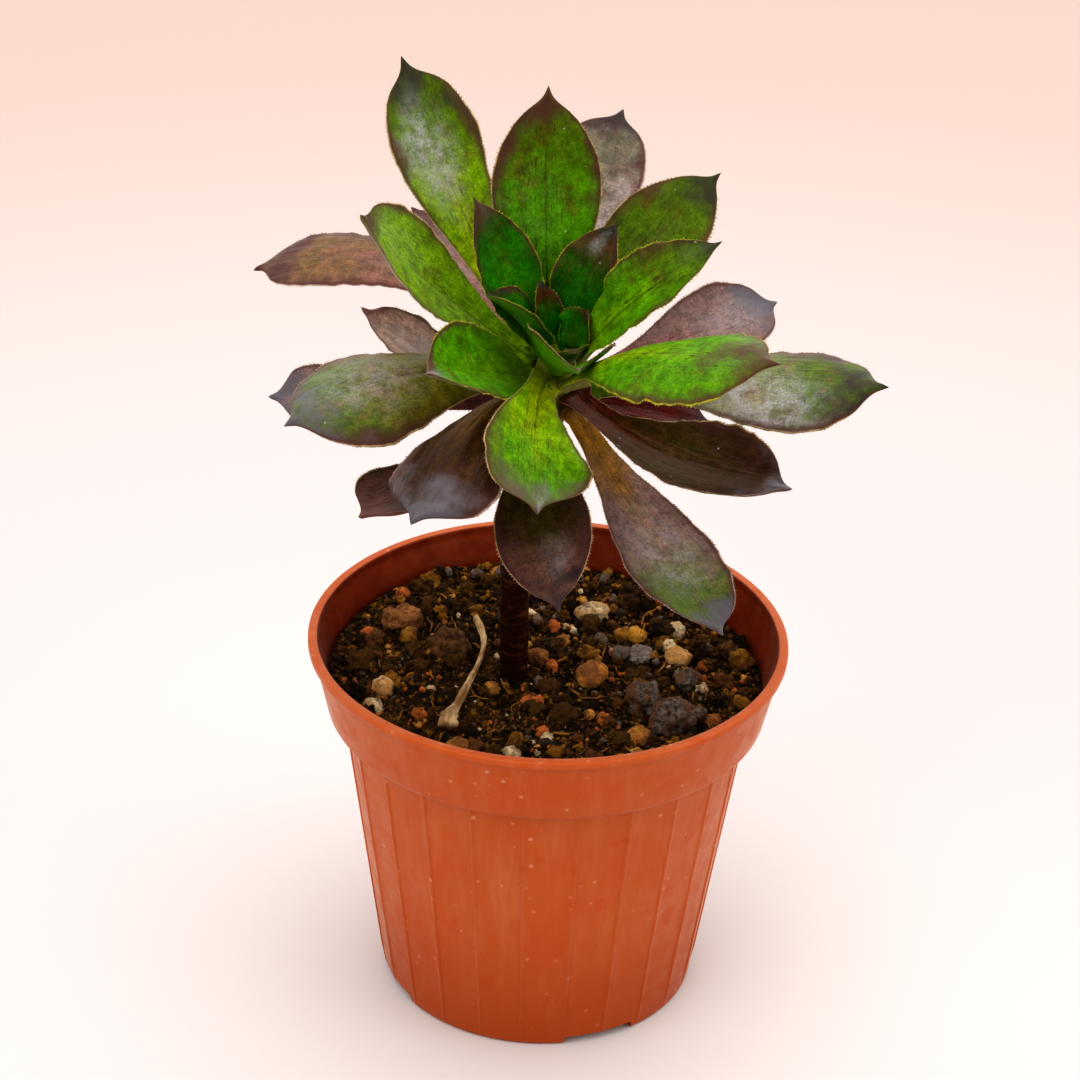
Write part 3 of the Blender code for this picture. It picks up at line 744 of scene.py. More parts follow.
FRACTURE_LEVELS = 2
LAVA_GREY = (0.185, 0.150, 0.125)
LAVA_BLACK = (0.050, 0.037, 0.029)
PUMICE_CREAM = (0.62, 0.50, 0.33)
PUMICE_HOLLOW_SHADE = (0.30, 0.21, 0.11)
PUMICE_GREY = (0.36, 0.33, 0.29)
PUMICE_GREY_HOLLOW_SHADE = (0.15, 0.12, 0.10)
FIRED_CLAY = (0.52, 0.26, 0.055)
FIRED_HOLLOW_SHADE = (0.27, 0.095, 0.020)
SULPHUR_CLAY = (0.56, 0.32, 0.045)
SULPHUR_HOLLOW_SHADE = (0.33, 0.17, 0.020)
CLOD_BROWN = (0.155, 0.070, 0.023)
CLOD_HOLLOW_SHADE = (0.045, 0.018, 0.006)
DRY_CLOD = (0.36, 0.17, 0.060)
DRY_CLOD_HOLLOW_SHADE = (0.15, 0.06, 0.020)


def fractured(node, crag, pits, pit_size):
    """The CAD stone with a rough broken surface. crag and pits are depths as a share of its size."""
    bm = welded(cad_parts[node].data)
    for _ in range(FRACTURE_LEVELS):
        bmesh.ops.subdivide_edges(bm, edges=bm.edges[:], cuts=1, use_grid_fill=True, smooth=0.6)
    bmesh.ops.recalc_face_normals(bm, faces=bm.faces)
    bm.normal_update()
    low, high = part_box(node)
    size = (high - low).length / math.sqrt(3)
    moved = []
    for vertex in bm.verts:
        place = vertex.co / size
        rough = noise.fractal(place * 3.1, 0.75, 2.1, 4)
        facet = noise.voronoi(place * 2.3)[0]
        hole = noise.voronoi(vertex.co / pit_size)[0][0]
        depth = crag * (rough + 1.2 * (facet[1] - facet[0]) - 0.5) - pits * max(0, 1 - 2.4 * hole)
        moved.append(vertex.co + vertex.normal * size * depth)
    for vertex, place in zip(bm.verts, moved):
        vertex.co = place
    return closed(bm, node)


def stone_finish(name, pale, dark, stain, grain):
    """Broken mineral: pale faces, darker in the low places of its relief as painted shade in the hollows, and
    a stain of soil.
    """
    finish = Finish(name, 0.9, 0.25)
    # Painted shade: the dark colour follows the low places of the relief.
    colour = finish.mix(finish.patches(grain, 0.38, 0.62, detail=6, roughness=0.7), dark, pale)
    colour = finish.mix(finish.patches(4 * grain, 0.42, 0.60, 0, 0.75, detail=3), colour, stain)
    colour = finish.mix(finish.between(finish.cells(0.6 * grain), 0.12, 0.32, 0.55, 0), colour, PEAT)
    smear = finish.patches(2.5 * grain, 0.50, 0.64, 0, 0.70, detail=5, roughness=0.7)
    colour = finish.mix(smear, colour, DRY_PEAT)
    finish.set("Base Color", colour)
    finish.set("Normal", finish.relief(finish.grain(grain, detail=6, roughness=0.75), 0.35 * grain))
    return finish


lava = stone_finish("lava", LAVA_GREY, LAVA_BLACK, BARK, 0.0009)
pumice = stone_finish("pumice", PUMICE_CREAM, PUMICE_HOLLOW_SHADE, OCHRE, 0.0010)
fired_clay = stone_finish("fired_clay", FIRED_CLAY, FIRED_HOLLOW_SHADE, BARK, 0.0009)
brown_clod = stone_finish("clod", CLOD_BROWN, CLOD_HOLLOW_SHADE, DRY_PEAT, 0.0011)
sulphur_clay = stone_finish("sulphur_clay", SULPHUR_CLAY, SULPHUR_HOLLOW_SHADE, OCHRE, 0.0009)
grey_pumice = stone_finish("grey_pumice", PUMICE_GREY, PUMICE_GREY_HOLLOW_SHADE, ASH, 0.0010)
dry_clod = stone_finish("dry_clod", DRY_CLOD, DRY_CLOD_HOLLOW_SHADE, BARK, 0.0011)

# How craggy each kind of stone is, how deep and how wide its pits are, and its finish.
STONE_KINDS = {
    "lava": (0.13, 0.07, 0.0012, lava),
    "pumice": (0.06, 0.07, 0.0010, pumice),
    "clay": (0.06, 0.03, 0.0012, fired_clay),
    "clod": (0.11, 0.04, 0.0014, brown_clod),
}
ODD_STONES = {"clay_grain_5": sulphur_clay, "pumice_1": grey_pumice, "clod_2": dry_clod}

for node in STONE_NODES:
    kind = node.split("_")[0]
    crag, pits, pit_size, finish = STONE_KINDS[kind]
    stone = fractured(node, crag, pits, pit_size)
    add_piece(f"{node}_broken", stone, ODD_STONES.get(node, finish), [node])

# ---- Dry stalk ----
# The shrivelled stalk of a fallen leaf: a thin tan strap with lengthwise creases, thick where it was
# joined to the stem. It lies loose across the soil.

STRAW = (0.50, 0.36, 0.19)
STRAW_BROWN = (0.24, 0.13, 0.050)


def smoothed(rows, passes):
    """The rows with each one pulled to the middle of its neighbours, ends kept."""
    rows = rows.copy()
    for _ in range(passes):
        rows[1:-1] = (rows[:-2] + 2 * rows[1:-1] + rows[2:]) / 4
    return rows


def tube_mesh(name, centres, radii, sides, shape):
    """A tube along the centres. shape gives the radius share for each step and angle."""
    steps = len(centres)
    along = np.gradient(centres, axis=0)
    along /= np.linalg.norm(along, axis=1)[:, None]
    points = []
    for step in range(steps):
        across = np.cross(along[step], (0.23, 0.11, 0.97) if abs(along[step][2]) < 0.6 else (0, 1, 0))
        across /= np.linalg.norm(across)
        upper = np.cross(across, along[step])
        for side in range(sides):
            angle = 2 * math.pi * side / sides
            out = radii[step] * shape(step / (steps - 1), angle)
            points.append(centres[step] + out * (math.cos(angle) * across + math.sin(angle) * upper))
    points += [centres[0], centres[-1]]
    bm = bmesh.new()
    bm.from_mesh(mesh_of(name, points, grid_faces(steps, sides) + pole_faces(steps, sides)))
    bmesh.ops.recalc_face_normals(bm, faces=bm.faces)
    return closed(bm, name)


def stalk_shape(share, angle):
    """Creased and flattened, with a twist along it and a thicker joint."""
    crease = 0.20 * math.sin(4 * angle + 5 * share) + 0.12 * math.sin(9 * angle - 7 * share)
    flat = 1.12 - 0.55 * math.sin(angle + 2.6 * share) ** 2
    girth = 0.78 + 0.34 * abs(noise.noise(Vector((share * 9, 4.4, 0)))) + 0.25 * (share < 0.12)
    uneven = 1 + 0.16 * noise.noise(Vector((share * 26, math.cos(angle), math.sin(angle))))
    return girth * (flat + crease) * uneven


def straw_finish():
    finish = Finish("dry_straw", 0.75, 0.3)
    patches = finish.patches(0.0040, 0.40, 0.65, detail=4)
    colour = finish.mix(patches, STRAW, STRAW_BROWN)
    fibres = finish.grain(0.0005, finish.stretched(finish.place(), (1, 0.12, 1)), detail=3)
    finish.set("Base Color", finish.mix(finish.between(fibres, 0.45, 0.65, 0, 0.5), colour, STRAW_BROWN))
    finish.set("Normal", finish.relief(fibres, 0.00025))
    return finish


stalk_centres, stalk_radii = slices("dry_stalk", 1, 90)
stalk = tube_mesh("dry_stalk_straw", smoothed(stalk_centres, 6), smoothed(stalk_radii, 3), 22, stalk_shape)
add_piece("dry_stalk_straw", stalk, straw_finish(), ["dry_stalk"])

# ---- Stem ----
# One woody stem, dark maroon with the ring scars of fallen leaves, growing out of the soil.
# Its top is the short green crown that every leaf is attached to.

MAROON = (0.016, 0.004, 0.002)
SCAR = (0.150, 0.050, 0.013)
CROWN_GREEN = (0.16, 0.20, 0.02)
BARK_GLOSS = (1.0, 0.40, 0.22, 1)
SCAR_SPACING = 0.0024
GREEN_BELOW_BUD = 0.006
BARK_BELOW_BUD = 0.020

stem_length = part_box("stem")[1].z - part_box("stem")[0].z


def stem_shape(share, angle):
    """Rough bark, with worn ridges where the leaves came off."""
    turn = share * stem_length / SCAR_SPACING + 0.35 * math.sin(angle) + 0.2 * math.sin(2 * angle + share * 9)
    turn += 0.8 * noise.noise(Vector((share * 14, 2.2, 0)))
    worn = abs(noise.noise(Vector((share * 21, math.sin(angle), 9.1))))
    scar = max(0, math.sin(2 * math.pi * turn)) ** 6 * worn
    bark = noise.fractal(Vector((math.cos(angle), math.sin(angle), share * 30)) * 1.6, 0.8, 2.0, 3)
    return 1.0 + 0.16 * scar + 0.05 * bark


def bark_finish():
    """Maroon bark with pale scars below, turning to green flesh in the crown."""
    finish = Finish("stem_bark", 0.50, 0.25)
    flat = finish.stretched(finish.place(), (0.35, 0.35, 1.0))
    scars = finish.patches(0.0011, 0.52, 0.72, 0, 0.45, vector=flat, detail=4)
    colour = finish.mix(scars, MAROON, SCAR)
    flecks = finish.patches(0.0005, 0.60, 0.70, 0, 0.5, detail=2)
    colour = finish.mix(flecks, colour, PEAT)
    bud_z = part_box("bud")[0].z
    greening = finish.between(finish.height(), bud_z - BARK_BELOW_BUD, bud_z - GREEN_BELOW_BUD)
    finish.set("Base Color", finish.mix(greening, colour, CROWN_GREEN))
    finish.set("Normal", finish.relief(finish.grain(0.0008, flat, detail=5, roughness=0.7), 0.00022))
    finish.set("Specular Tint", BARK_GLOSS)
    return finish


stem_centres, stem_radii = slices("stem", 2, 300)
stem = tube_mesh("stem_bark", smoothed(stem_centres, 4), smoothed(stem_radii, 4), 40, stem_shape)
add_piece("stem_bark", stem, bark_finish(), ["stem"])

# ---- Leaves ----
# Twenty-nine fleshy leaves on the crown, spoon shaped and satin, with a horny edge of fine teeth and a
# dark needle at the tip. Sun turns the old ones from green to mauve and plum, and a waxy bloom lies on
# them in patches, painted paler and bluer than the flesh with a painted sheen of the sky.

SPRING = (0.165, 0.300, 0.004)
GRASS = (0.078, 0.235, 0.002)
DEEP = (0.014, 0.165, 0.003)
FOREST = (0.014, 0.095, 0.003)
MOSS = (0.070, 0.130, 0.004)
OLIVE = (0.120, 0.110, 0.010)
YELLOW = (0.330, 0.360, 0.008)
AMBER = (0.260, 0.130, 0.006)
KHAKI = (0.168, 0.103, 0.045)
SAGE = (0.225, 0.225, 0.130)
HEATHER = (0.205, 0.135, 0.140)
ROSE = (0.285, 0.125, 0.125)
CLAY_ROSE = (0.215, 0.110, 0.085)
LILAC = (0.330, 0.275, 0.300)
MAUVE = (0.125, 0.062, 0.055)
PLUM = (0.078, 0.030, 0.028)
UMBER = (0.036, 0.014, 0.005)
MUD = (0.050, 0.034, 0.006)
WINE = (0.075, 0.010, 0.004)
RED = (0.085, 0.004, 0.001)
RUSSET = (0.095, 0.036, 0.012)
CRIMSON = (0.165, 0.055, 0.055)
BRUISE = (0.110, 0.075, 0.070)
SLATE = (0.105, 0.098, 0.115)
PEWTER = (0.125, 0.115, 0.085)
INK = (0.030, 0.022, 0.026)
# Pale bloom with a painted sheen, and the same bluer as a painted reflection of the sky.
BLOOM_AND_SHEEN = (0.380, 0.360, 0.370)
SKY_SHEEN_AND_BLOOM = (0.330, 0.360, 0.410)
HORN = (0.420, 0.290, 0.180)
LEMON = (0.380, 0.340, 0.040)
DUSK = (0.420, 0.290, 0.250)
GREENS = (SPRING, GRASS, DEEP, FOREST, MOSS)
# The colour underneath a leaf, by the colour of its base. The others are sage underneath.
UNDERSIDES = {
    ROSE: HEATHER,
    LILAC: LILAC,
    AMBER: CLAY_ROSE,
    CLAY_ROSE: CLAY_ROSE,
    WINE: RED,
    RED: RED,
    GRASS: GRASS,
    DEEP: GRASS,
}

# A leaf's colours at its base, middle, upper part and tip, and on its rim. Then how brown its upper edges
# are, how much it is flecked, how wavy its edges are, and its bloom with its painted sheen: how strong, how
# far along and across, and how wide.
LeafLook = namedtuple("LeafLook", "base middle upper tip rim browned flecked wavy bloomed ahead aside spread")
LEAF_LOOKS = {
    "leaf_01": LeafLook(SPRING, GRASS, GRASS, BRUISE, LEMON, 0.4, 0.2, 1.0, 0.00, 0.5, 0.0, 0.2),
    "leaf_02": LeafLook(GRASS, DEEP, FOREST, PLUM, LEMON, 1.0, 0.3, 1.6, 0.00, 0.5, 0.0, 0.2),
    "leaf_03": LeafLook(DEEP, FOREST, WINE, INK, LEMON, 1.0, 0.3, 1.6, 0.00, 0.5, 0.0, 0.2),
    "leaf_04": LeafLook(GRASS, DEEP, FOREST, INK, LEMON, 1.0, 0.2, 1.3, 0.25, 0.92, 0.0, 0.10),
    "leaf_05": LeafLook(SPRING, GRASS, MOSS, INK, LEMON, 0.8, 1.0, 1.7, 0.10, 0.9, 0.3, 0.2),
    "leaf_06": LeafLook(GRASS, GRASS, GRASS, BRUISE, HORN, 0.8, 0.2, 1.2, 0.30, 0.97, 0.0, 0.14),
    "leaf_07": LeafLook(GRASS, DEEP, FOREST, PLUM, LEMON, 0.6, 0.3, 1.5, 0.12, 0.9, -0.4, 0.2),
    "leaf_08": LeafLook(DEEP, FOREST, PLUM, INK, LEMON, 0.8, 0.5, 1.5, 0.70, 0.80, 0.25, 0.15),
    "leaf_09": LeafLook(YELLOW, SPRING, GRASS, BRUISE, HORN, 0.6, 1.0, 1.2, 0.45, 0.98, 0.1, 0.16),
    "leaf_10": LeafLook(GRASS, GRASS, MOSS, PLUM, HORN, 1.0, 1.0, 0.7, 0.06, 0.5, 0.3, 0.3),
    "leaf_11": LeafLook(YELLOW, GRASS, GRASS, PLUM, LEMON, 0.6, 1.0, 1.5, 0.06, 0.9, -0.3, 0.2),
    "leaf_12": LeafLook(SPRING, GRASS, GRASS, MAUVE, LEMON, 1.0, 0.4, 1.4, 0.55, 0.98, 0.3, 0.22),
    "leaf_13": LeafLook(SPRING, SPRING, SPRING, PLUM, HORN, 0.8, 0.8, 1.0, 0.15, 0.8, -0.2, 0.3),
    "leaf_14": LeafLook(BRUISE, MOSS, MOSS, INK, HORN, 0.9, 0.8, 0.8, 0.25, 0.22, -0.3, 0.22),
    "leaf_15": LeafLook(YELLOW, SPRING, MOSS, INK, HORN, 0.9, 0.9, 0.7, 0.95, 0.69, 0.2, 0.27),
    "leaf_16": LeafLook(WINE, MUD, UMBER, SLATE, HORN, 0.6, 0.5, 1.1, 0.50, 0.98, 0.2, 0.12),
    "leaf_17": LeafLook(OLIVE, OLIVE, MOSS, SLATE, HORN, 0.9, 1.0, 0.9, 0.55, 0.66, -0.2, 0.34),
    "leaf_18": LeafLook(MOSS, SAGE, MOSS, INK, HORN, 0.9, 1.0, 0.9, 1.00, 0.60, -0.6, 0.32),
    "leaf_19": LeafLook(ROSE, CLAY_ROSE, KHAKI, PLUM, DUSK, 0.9, 0.7, 0.9, 0.20, 0.35, 0.2, 0.35),
    "leaf_20": LeafLook(AMBER, HEATHER, MOSS, SLATE, DUSK, 0.7, 0.6, 0.8, 0.60, 0.60, 0.0, 0.32),
    "leaf_21": LeafLook(AMBER, UMBER, UMBER, SLATE, DUSK, 0.5, 0.4, 1.0, 0.20, 0.90, 0.3, 0.14),
    "leaf_22": LeafLook(ROSE, HEATHER, HEATHER, SLATE, DUSK, 0.5, 0.6, 0.8, 0.40, 0.75, 0.1, 0.28),
    "leaf_23": LeafLook(ROSE, CLAY_ROSE, HEATHER, PLUM, DUSK, 0.4, 0.5, 0.6, 0.35, 0.55, 0.0, 0.30),
    "leaf_24": LeafLook(ROSE, DUSK, DUSK, MAUVE, DUSK, 0.3, 0.4, 0.7, 0.70, 0.60, 0.0, 0.30),
    "leaf_25": LeafLook(LILAC, LILAC, PEWTER, INK, DUSK, 0.9, 0.5, 0.6, 0.40, 0.28, 0.0, 0.24),
    "leaf_26": LeafLook(OLIVE, MUD, MAUVE, INK, HORN, 0.7, 0.5, 0.8, 0.35, 0.74, 0.2, 0.16),
    "leaf_27": LeafLook(ROSE, CLAY_ROSE, HEATHER, SLATE, DUSK, 0.5, 0.5, 0.6, 0.30, 0.70, 0.0, 0.30),
    "leaf_28": LeafLook(RED, RED, RED, INK, DUSK, 0.3, 0.5, 0.6, 0.05, 0.50, 0.0, 0.10),
    "leaf_29": LeafLook(CLAY_ROSE, CLAY_ROSE, MAUVE, MAUVE, DUSK, 0.3, 0.6, 0.8, 0.35, 0.55, 0.0, 0.34),
}
LEAF_STEPS = 72
LEAF_SIDES = 40
LEAF_RING = 8  # corners of each ring of the CAD leaf
HALF_RING = LEAF_RING // 2
LEAD_EDGE, TOP, TRAIL_EDGE, UNDER = 0, 2, 4, 6  # the ring's corners on the leaf's edges and faces
WAVE_HEIGHT = 0.00065
WAVE_LENGTH = 0.0036
FINE_WAVE_LENGTH = 0.0015
SWELL_SHARE = 0.030
SWELL_LENGTH = 0.0048
GROOVE_DEPTH = 0.00034
GROOVE_WIDTH = 0.0009
KEEL_DEPTH = 0.00030
KEEL_WIDTH = 0.0014
FOLD_HEIGHT = 0.00030
FOLD_WIDTH = 0.0024
FOLD_LENGTH = 0.012
ROOT_DEPTH = 0.0006
SHOULDER_AT = 0.88
SHOULDER_SPREAD = 0.04
NEEDLE_FROM = 0.905
NEEDLE_LENGTH = 0.07
NEEDLE_NARROWING = 0.50
TEETH_FROM = 0.12
TEETH_TO = 0.955
TOOTH_SPACING = 0.00062
TOOTH_LENGTH = 0.00038
TOOTH_RADIUS = 0.00011
TOOTH_SINK = 0.0001
MOTTLED = ((0.60, 0.64, 0.58), (1.34, 1.30, 1.20))
PORED = ((0.80, 0.80, 0.80), (1.18, 1.18, 1.18))
GREEN_GLOSS = (0.75, 1.0, 0.15, 1)
DARK_GLOSS = (0.70, 0.52, 0.42, 1)
RED_GLOSS = (0.60, 0.12, 0.06, 1)
crown = (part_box("bud")[0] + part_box("bud")[1]) / 2


def ring_levels(pole):
    """Vertices in steps away from a pole."""
    levels, seen = [[pole]], {pole}
    while levels[-1]:
        beyond = []
        for vertex in levels[-1]:
            for edge in vertex.link_edges:
                other = edge.other_vert(vertex)
                if other not in seen:
                    seen.add(other)
                    beyond.append(other)
        levels.append(beyond)
    return levels[:-1]


def in_order(ring):
    """The ring's vertices as they follow each other."""
    ordered = [ring[0]]
    while len(ordered) < len(ring):
        for edge in ordered[-1].link_edges:
            other = edge.other_vert(ordered[-1])
            if other in ring and other not in ordered:
                ordered.append(other)
                break
        else:
            break
    return np.array([vertex.co for vertex in ordered])


def leaf_levels(bm):
    """The CAD leaf's rings of vertices, from its root by the crown to its tip."""
    found = []
    for vertex in bm.verts:
        if len(vertex.link_edges) == LEAF_RING:
            levels = ring_levels(vertex)
            if len(levels[-1]) == 1 and all(len(level) == LEAF_RING for level in levels[1:-1]):
                found.append(levels)
    return min(found, key=lambda levels: (levels[0][0].co - crown).length)


def in_line(rings, middles):
    """The rings turned the same way round, with each one's corners in line with those before it."""
    aligned = []
    for index, ring in enumerate(rings):
        along = middles[index + 2] - middles[index]
        spokes = ring - ring.mean(0)
        if np.cross(spokes, np.roll(spokes, -1, 0)).sum(0) @ along < 0:
            ring = ring[::-1]
        if aligned:
            before = aligned[-1] - aligned[-1].mean(0)
            spokes = ring - ring.mean(0)
            spread = [np.abs(np.roll(spokes, -shift, 0) - before).sum() for shift in range(LEAF_RING)]
            ring = np.roll(ring, -int(np.argmin(spread)), 0)
        aligned.append(ring)
    return aligned


def leaf_rings(node):
    """The leaf's root, its rings and its tip. Corner 0 is on the edge that lies counter-clockwise."""
    bm = welded(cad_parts[node].data)
    levels = leaf_levels(bm)
    base, tip = np.array(levels[0][0].co), np.array(levels[-1][0].co)
    rings = [in_order(level) for level in levels[1:-1]]
    bm.free()
    rings = in_line(rings, [base] + [ring.mean(0) for ring in rings] + [tip])
    widest = max(rings, key=lambda ring: np.linalg.norm(ring - ring.mean(0), axis=1).max())
    spans = [np.linalg.norm(widest[corner] - widest[corner + HALF_RING]) for corner in range(HALF_RING)]
    shift = int(np.argmax(spans))
    rings = [np.roll(ring, -shift, 0) for ring in rings]
    widest = np.roll(widest, -shift, 0)
    outward = widest.mean(0) - np.array(crown)
    outward[2] = 0
    upward = np.array((0, 0, 1)) - outward / np.linalg.norm(outward)
    if (widest[TOP] - widest[UNDER]) @ upward < 0:
        rings = [np.roll(ring, -HALF_RING, 0) for ring in rings]
    return base, np.array(rings), tip


def smooth_between(places, rows, at):
    """The rows read from a smooth curve through them."""
    slopes = np.gradient(rows, places, axis=0)
    index = np.clip(np.searchsorted(places, at) - 1, 0, len(places) - 2)
    gap = (places[index + 1] - places[index])[:, None]
    t = (at - places[index])[:, None] / gap
    start, end = rows[index], rows[index + 1]
    return (
        (2 * t**3 - 3 * t**2 + 1) * start
        + (t**3 - 2 * t**2 + t) * slopes[index] * gap
        + (3 * t**2 - 2 * t**3) * end
        + (t**3 - t**2) * slopes[index + 1] * gap
    )


def ripple(place, seed):
    return noise.noise(Vector((place, seed * 5.3, 0.7)))


def needle(along):
    """How the blade narrows: full shoulders, then a drawn-out point."""
    shoulder = 1 + 0.03 * math.exp(-(((along - SHOULDER_AT) / SHOULDER_SPREAD) ** 2))
    point = min(1, max(0, (along - NEEDLE_FROM) / NEEDLE_LENGTH))
    return shoulder * (1 - NEEDLE_NARROWING * point * point * (3 - 2 * point))


def leaf_mesh(name, node, seed, wavy):
    """The leaf's skin: a grooved midrib, wavy thin edges, lengthwise folds, and teeth on each edge."""
    base, rings, tip = leaf_rings(node)
    none = np.zeros(3)
    middle = np.array([base, *(rings[:, TOP] + rings[:, UNDER]) / 2, tip])
    across = np.array([none, *(rings[:, LEAD_EDGE] - rings[:, TRAIL_EDGE]) / 2, none])
    flesh = np.array([none, *(rings[:, TOP] - rings[:, UNDER]) / 2, none])
    curl = np.array([none, *((rings[:, LEAD_EDGE] + rings[:, TRAIL_EDGE]) / 2 - middle[1:-1]), none])
    steps = np.linalg.norm(np.diff(middle, axis=0), axis=1)
    places = np.concatenate([[0], np.cumsum(steps)])
    length = places[-1]
    share = np.linspace(0, 1, LEAF_STEPS)
    at = (length * (0.45 * share + 0.55 * np.sin(share * math.pi / 2)))[1:-1]
    rows = smooth_between(places, np.hstack([middle, across, flesh, curl]), at)
    widest = np.linalg.norm(rows[:, 3:6], axis=1).max()
    points, marks = [], []
    for row, place in zip(rows, at):
        along = place / length
        narrow = needle(along)
        centre, side, thick, bend = row[:3], row[3:6] * narrow, row[6:9], row[9:12] * narrow
        upper = thick / (np.linalg.norm(thick) + 1e-12)
        width = np.linalg.norm(side)
        broad = min(1, width / widest)
        hollow = broad * (1 - along**3)
        waves, swells = [], []
        for far in (0, 40):
            fine = 0.6 * ripple(place / FINE_WAVE_LENGTH, seed + far)
            waves.append(ripple(place / WAVE_LENGTH, seed + far) + fine)
            swell = ripple(place / SWELL_LENGTH, seed + far + 80)
            swells.append(1 + SWELL_SHARE * wavy * swell * broad)
        for step in range(LEAF_SIDES):
            angle = 2 * math.pi * step / LEAF_SIDES
            v, lift = math.cos(angle), math.sin(angle)
            far = v < 0
            rim = abs(v) ** 4
            lie = WAVE_HEIGHT * wavy * broad * rim * waves[far]
            if lift > 0:
                lie -= GROOVE_DEPTH * math.exp(-((v * width / GROOVE_WIDTH) ** 2)) * hollow
            else:
                lie -= KEEL_DEPTH * math.exp(-((v * width / KEEL_WIDTH) ** 2)) * hollow
            fold = noise.noise(Vector((v * width / FOLD_WIDTH, place / FOLD_LENGTH, seed)))
            lie += FOLD_HEIGHT * broad * (1 - rim) * fold
            lens = abs(lift) ** 0.35 if abs(lift) > 1e-6 else 0
            skin = centre + side * v * swells[far] + bend * v * v + thick * lift * lens
            points.append(skin + upper * lie)
            marks.append((v, along, 1.0 if lift > 0 else -1.0, v * width, place))
    edges = [np.array(points[first::LEAF_SIDES]) for first in (0, LEAF_SIDES // 2)]
    faces = grid_faces(len(at), LEAF_SIDES) + pole_faces(len(at), LEAF_SIDES)
    root = base - (middle[2] - base) / np.linalg.norm(middle[2] - base) * ROOT_DEPTH
    points += [root, tip]
    marks += [(0, 0, 0, 0, 0), (0, 1, 0, 0, length)]
    for way, edge in zip((1, -1), edges):
        teeth = np.random.default_rng(100 + 2 * seed + way)
        add_teeth(points, marks, faces, edge, rows, at, length, way, teeth)
    mesh = mesh_of(name, points, faces)
    marks = np.array(marks, np.float32)
    for number, mark in enumerate(("across", "along", "side", "across_m", "along_m")):
        mesh.attributes.new(mark, "FLOAT", "POINT").data.foreach_set("value", marks[:, number].copy())
    return mesh


def add_teeth(points, marks, faces, edge, rows, at, length, way, teeth):
    """Small horny cones along one edge, leaning towards the tip."""
    place = TEETH_FROM * length
    while place < TEETH_TO * length:
        before = int(np.searchsorted(at, place)) - 1
        part = (place - at[before]) / (at[before + 1] - at[before])
        root = edge[before] * (1 - part) + edge[before + 1] * part
        onward = edge[before + 1] - edge[before]
        onward /= np.linalg.norm(onward)
        width = np.linalg.norm(rows[before, 3:6])
        out = way * rows[before, 3:6] / width
        upper = rows[before, 6:9] / np.linalg.norm(rows[before, 6:9])
        lean = out * 0.85 + onward * teeth.normal(0.60, 0.15) + upper * teeth.normal(0, 0.15)
        size = teeth.uniform(0.65, 1.25) * min(1, 6 * (1 - place / length))
        start = len(points)
        heel = root - out * TOOTH_SINK
        for turn, girth in ((0, 1.5), (1, 0.9), (2, 1.5), (3, 0.9)):
            spoke = onward * math.cos(turn * math.pi / 2) + upper * math.sin(turn * math.pi / 2)
            points.append(heel + spoke * TOOTH_RADIUS * size * girth)
        points.append(root + lean / np.linalg.norm(lean) * TOOTH_LENGTH * size)
        marks += [(way, place / length, 1, way * width, place)] * 5
        tooth = [(start + turn, start + (turn + 1) % 4, start + 4) for turn in range(4)]
        tooth.append((start + 3, start + 2, start + 1, start))
        faces += [face if way > 0 else face[::-1] for face in tooth]
        place += TOOTH_SPACING * teeth.uniform(0.75, 1.3)


